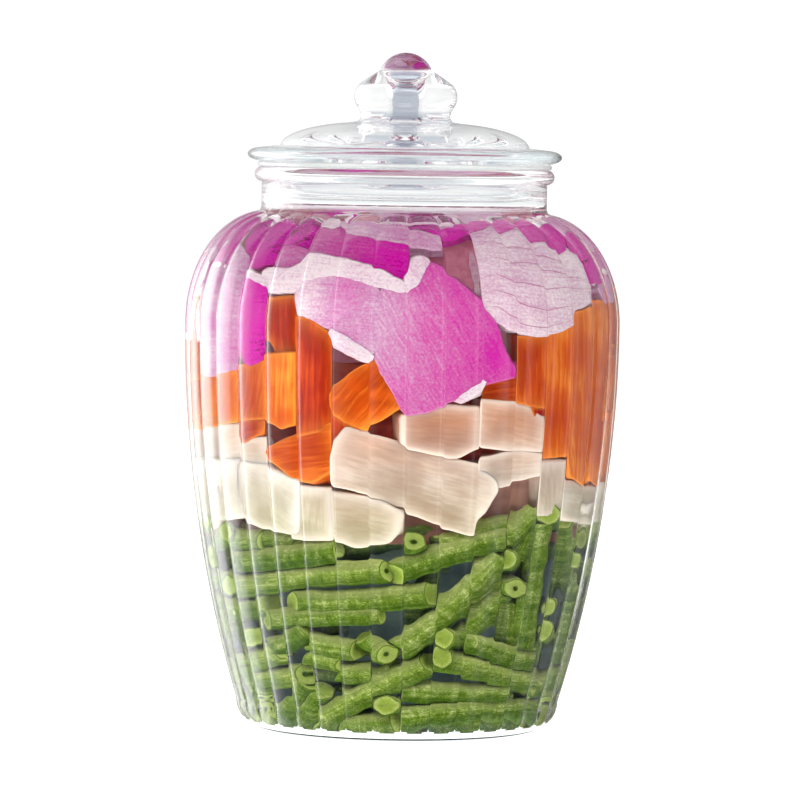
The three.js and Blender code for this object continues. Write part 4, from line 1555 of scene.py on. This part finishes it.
def onion_look():
    made, tree = material("red_onion")
    shade, long, wide = [attribute(tree, name) for name in ("shade", "long", "wide")]
    streaks = clouds(vector_of(wide * 1.3, long * 0.09, shade * 40.0), 1.0, 4.0, 0.65)
    grainy = clouds(place_in_object(tree), 1300.0, 2.0)
    patches = clouds(place_in_object(tree), 45.0, 2.0)
    swing = streaks * 0.5 + patches * 0.5 + grainy * 0.55
    red = (attribute(tree, "red") + (swing - 0.775)) * 0.9
    skin = ramp(red, (0.0, 212, 196, 200), (0.14, 198, 166, 182), (0.3, 184, 130, 165), (0.5, 182, 84, 146),
                (0.7, 178, 42, 138), (0.86, 188, 6, 148), (0.95, 122, 10, 84))
    rim_edge = attribute(tree, "rim") + (patches - 0.5)
    colour = mixed(ramp(rim_edge, (0.42, 0.0), (0.55, 1.0)), skin, srgb(238, 224, 228))
    colour = mixed(attribute(tree, "line"), colour, srgb(176, 98, 130))
    shader = wet(colour, 0.4, 0.3, 0.004)
    # A painted glow in the onion's own colour
    painted_glow(shader, colour, 0.1)
    bumped(shader, streaks, 0.15, 0.0006)
    return made


# A filling's colours are its vegetables darkened as painted shade, with a painted glow
def core_look(name, painted_emission, dark, middle, light):
    made, tree = material(name)
    tone = clouds(place_in_object(tree), 110.0)
    colour = ramp(tone, (0.35, *dark), (0.5, *middle), (0.65, *light))
    shader = wet(colour, 0.6, 0.0, 0.001)
    painted_glow(shader, colour, painted_emission)
    return made


def clear_look(name, ior, colour, roughness, waviness, mirror=WHITE, through=1.0):
    """A clear material. Where brine wets glass, mirror is black, as such a surface reflects hardly
    anything."""
    made, tree = material(name)
    shader = principled(tree)
    feed(shader, {"Base Color": colour, "Transmission Weight": through, "IOR": ior, "Roughness": roughness,
                  "Specular Tint": mirror})
    if waviness:
        bumped(shader, clouds(place_in_object(tree), 45.0, 1.0), waviness, 0.002)
    return made


def tint_lid(lid):
    """Tint the lid: its thick edge faintly green, the hollow of its knob a dark blue-grey of painted shade,
    and its cap purple.
    """
    for name, colour in LID_TINTS:
        lid.data.materials.append(clear_look(name, GLASS_IOR, colour, 0.0, 0.0))
    for face in lid.data.polygons:
        middle = face.center / MM
        radius = math.hypot(middle.x, middle.y)
        if radius > FLANGE_RADIUS - FLANGE_EDGE:
            face.material_index = 1
        if radius < KNOB_HOLLOW_RADIUS + 1.0 and middle.z < LID_TOP - 8.0:
            face.material_index = 2
        if middle.z > LID_TOP - KNOB_CAP_TINT:
            face.material_index = 3


def tint_foot(crock):
    """Give the crock's foot a rough, whitish band with a scalloped edge, painted light that stands for the
    bright table seen through the heel, and a dark line, painted shadow, where it stands.
    """
    light_foot_look = clear_look("painted_light_foot", GLASS_IOR, (0.9, 0.93, 0.92, 1), 0.3, 0.1, through=0.45)
    shadow_line_look = clear_look("painted_foot_shadow", 1.0, (0.03, 0.04, 0.04, 1), 0.3, 0.0, through=0.0)
    crock.data.materials.append(light_foot_look)
    crock.data.materials.append(shadow_line_look)
    for face in crock.data.polygons:
        middle = face.center / MM
        lobe = (math.atan2(middle.x, -middle.y) - FLUTE_PHASE) / (2 * math.pi) * FLUTE_COUNT
        top = FOOT_LIT_BAND + FOOT_SCALLOP * (2 * (lobe % 1) - 1) ** 2
        if face.normal.z < -0.2 and math.hypot(middle.x, middle.y) > FOOT_RADIUS - 1.0:
            if middle.z < FOOT_SHADOW_LINE:
                face.material_index = 3
            elif middle.z < top:
                face.material_index = 2


def wet_inside(crock, look):
    """Give the crock's inside, up to the brine's level, the look of wetted glass."""
    crock.data.materials.append(look)
    for face in crock.data.polygons:
        middle = face.center / MM
        radius = math.hypot(middle.x, middle.y)
        inward = face.normal.x * middle.x + face.normal.y * middle.y < 0
        on_floor = face.normal.z > 0.5 and middle.z < FLOOR + FLOOR_CORNER_RISE and radius < FOOT_RADIUS + 20
        if (inward or on_floor) and FLOOR - 1 < middle.z < BRINE_TOP:
            face.material_index = 1


def make_camera():
    data = bpy.data.cameras.new("camera")
    data.sensor_width = SENSOR_WIDTH
    data.lens = SENSOR_WIDTH * CAMERA_DISTANCE / VIEW_WIDTH
    data.clip_end = 20.0
    camera = bpy.data.objects.new("camera", data)
    bpy.context.scene.collection.objects.link(camera)
    camera.matrix_world = Matrix.Translation(CAMERA_PLACE * MM) @ CAMERA_TURN.to_4x4()
    bpy.context.scene.camera = camera


def make_floor():
    half = 6.0
    mesh = bpy.data.meshes.new("floor")
    corners = [(-half, -half, 0), (half, -half, 0), (half, half, 0), (-half, half, 0)]
    mesh.from_pydata(corners, [], [(0, 1, 2, 3)])
    floor = add_object("floor", mesh)
    made, tree = material("floor_paper")
    feed(principled(tree), {"Base Color": grey(0.3), "Roughness": 0.9, "Emission Color": WHITE,
                            "Emission Strength": 0.9})
    floor.data.materials.append(made)
    floor.visible_glossy = False
    floor.visible_shadow = False


def make_softbox(name, place, aim, width, height, power):
    """A soft panel of light, which lights the food but leaves no glare on the glass."""
    data = bpy.data.lights.new(name, "AREA")
    data.shape = "RECTANGLE"
    data.size = width
    data.size_y = height
    data.energy = power
    lamp = bpy.data.objects.new(name, data)
    bpy.context.scene.collection.objects.link(lamp)
    lamp.location = place
    lamp.rotation_euler = (Vector(aim) - Vector(place)).to_track_quat("-Z", "Y").to_euler()
    lamp.visible_glossy = False
    lamp.visible_transmission = False


def room_light(tree, colour, strength):
    return node(tree, "Background", 0, {"Color": colour, "Strength": strength})


def either(choice, first, second):
    return node(choice.tree, "MixShader", 0, {0: choice, 1: first, 2: second})


def make_world():
    """A white backdrop that shows through the glass, a soft light from above for the food, and a dim room,
    brightest behind on the left, that the glass mirrors."""
    world = bpy.data.worlds.new("studio")
    bpy.context.scene.world = world
    world.use_nodes = True
    tree = world.node_tree
    direction = node(tree, "TexCoord", "Generated", {})
    x, y, z = [part_of(direction, axis) for axis in "XYZ"]
    ahead = y * 0.5 + 0.5
    height = z * 0.5 + 0.5
    behind = ramp(ahead, (0.0, 0.8), (0.5, 0.86), (0.8, 0.97), (0.93, 1.0))
    level = ramp(height, (0.25, 1.0), (0.62, 1.0), (0.8, 0.6, 0.65, 0.72, 1), (1.0, 0.8, 0.84, 0.88, 1))
    backdrop = room_light(tree, mixed_by(behind, level), 1.0)
    soft = ramp(height, (0.0, 0.25), (0.45, 0.4), (0.75, 0.55), (1.0, 0.5))
    on_food = room_light(tree, soft, 1.0)
    turn = x.maths("ARCTAN2", y * -1.0) * (0.5 / math.pi) + 0.5
    table = ramp(height, (0.12, 0.4), (0.3, 0.6), (0.5, 1.0), (0.62, 1.0), (0.74, 0.2))
    mirrored = room_light(tree, mixed_by(ramp(turn, *ROOM_PANELS), table), ROOM_STRENGTH)
    raised = ramp(height, (0.1, 0.0), (0.22, 1.0))
    mirrored = either(raised, room_light(tree, WHITE, 0.8), mirrored)
    seen_by = either(node(tree, "LightPath", "Is Reflection Ray", {}), backdrop, mirrored)
    lighting = node(tree, "LightPath", "Diffuse Depth", {}).maths("GREATER_THAN", 0.5)
    seen_by = either(lighting, seen_by, on_food)
    white = room_light(tree, WHITE, 1.05)
    seen_by = either(node(tree, "LightPath", "Is Camera Ray", {}), seen_by, white)
    feed(tree.nodes["World Output"], {"Surface": seen_by})


def make_light():
    make_world()
    for lamp in LAMPS:
        make_softbox(*lamp)
    scene = bpy.context.scene
    scene.view_settings.view_transform = "Standard"
    scene.cycles.max_bounces = 64
    scene.cycles.transmission_bounces = 48
    scene.cycles.glossy_bounces = 48
    scene.cycles.caustics_refractive = False
    scene.cycles.caustics_reflective = False
    scene.cycles.use_denoising = True


def finish_piece(piece, look, slot, *nodes):
    """Give a piece its look, hang it from the root body and hide the imported parts that it stands for. Clear
    pieces let the light through to the food.
    """
    piece.data.materials.append(look)
    piece.visible_shadow = slot not in ("clear_glass", "clear_silicone", "brine")
    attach(piece, "root")
    if nodes:
        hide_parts(*nodes)


make_camera()
make_floor()
make_light()

glass = clear_look("clear_glass", GLASS_IOR, (0.985, 1.0, 0.992, 1), 0.0, 0.02)
crock = make_crock()
finish_piece(crock, glass, "clear_glass", "crock")
wet_inside(crock, clear_look("wetted_glass", GLASS_IOR, WHITE, 0.0, 0.0, BLACK))
tint_foot(crock)
lid = make_lid()
lid_look = clear_look("lid_glass", GLASS_IOR, (0.985, 0.995, 0.99, 1), 0.0, 0.02)
finish_piece(lid, lid_look, "clear_glass", "lid")
tint_lid(lid)
silicone = clear_look("clear_silicone", 1.41, (0.95, 0.96, 0.94, 1), 0.2, 0.05)
finish_piece(make_ring(), silicone, "clear_silicone", "seal_ring")
brine = make_brine()
brine_look = clear_look("brine", BRINE_IOR, (1.0, 0.99, 0.985, 1), 0.0, 0.0, BLACK)
finish_piece(brine, brine_look, "brine", "brine")

finish_piece(make_beans(), bean_look(), "green_bean", "bean_layer")
finish_piece(make_radish(), radish_look(), "white_radish", "radish_layer")
finish_piece(make_carrots(), carrot_look(), "carrot", "carrot_layer")
finish_piece(make_onions(), onion_look(), "red_onion", "onion_layer")

# Fillings behind the layers, their vegetables' colours darkened as painted shade deep in the jar: name, slot,
# heights, inset, painted glow, and dark, middle and light colours
CORES = (
    ("bean", "green_bean", FLOOR + 9.0, BEAN_TOP - 1.0, 15.0, 0.3,
     (72, 88, 90), (84, 102, 102), (104, 120, 110)),
    ("radish", "white_radish", BEAN_TOP - 2.0, RADISH_TOP - 2.0, CORE_INSET, CORE_PAINTED_EMISSION,
     (136, 96, 86), (154, 110, 98), (176, 130, 114)),
    ("carrot", "carrot", RADISH_TOP - 3.0, CARROT_TOP - 2.0, CORE_INSET, CORE_PAINTED_EMISSION,
     (122, 40, 34), (146, 54, 44), (172, 80, 64)),
    ("onion", "red_onion", CARROT_TOP - 3.0, BRINE_TOP - 8.0, CORE_INSET, CORE_PAINTED_EMISSION,
     (150, 70, 96), (178, 102, 124), (204, 136, 152)),
)
for name, slot, low, high, inset, painted_emission, *tones in CORES:
    core = make_core(name + "_core", low, high, inset)
    finish_piece(core, core_look(name + "_gaps", painted_emission, *tones), slot)
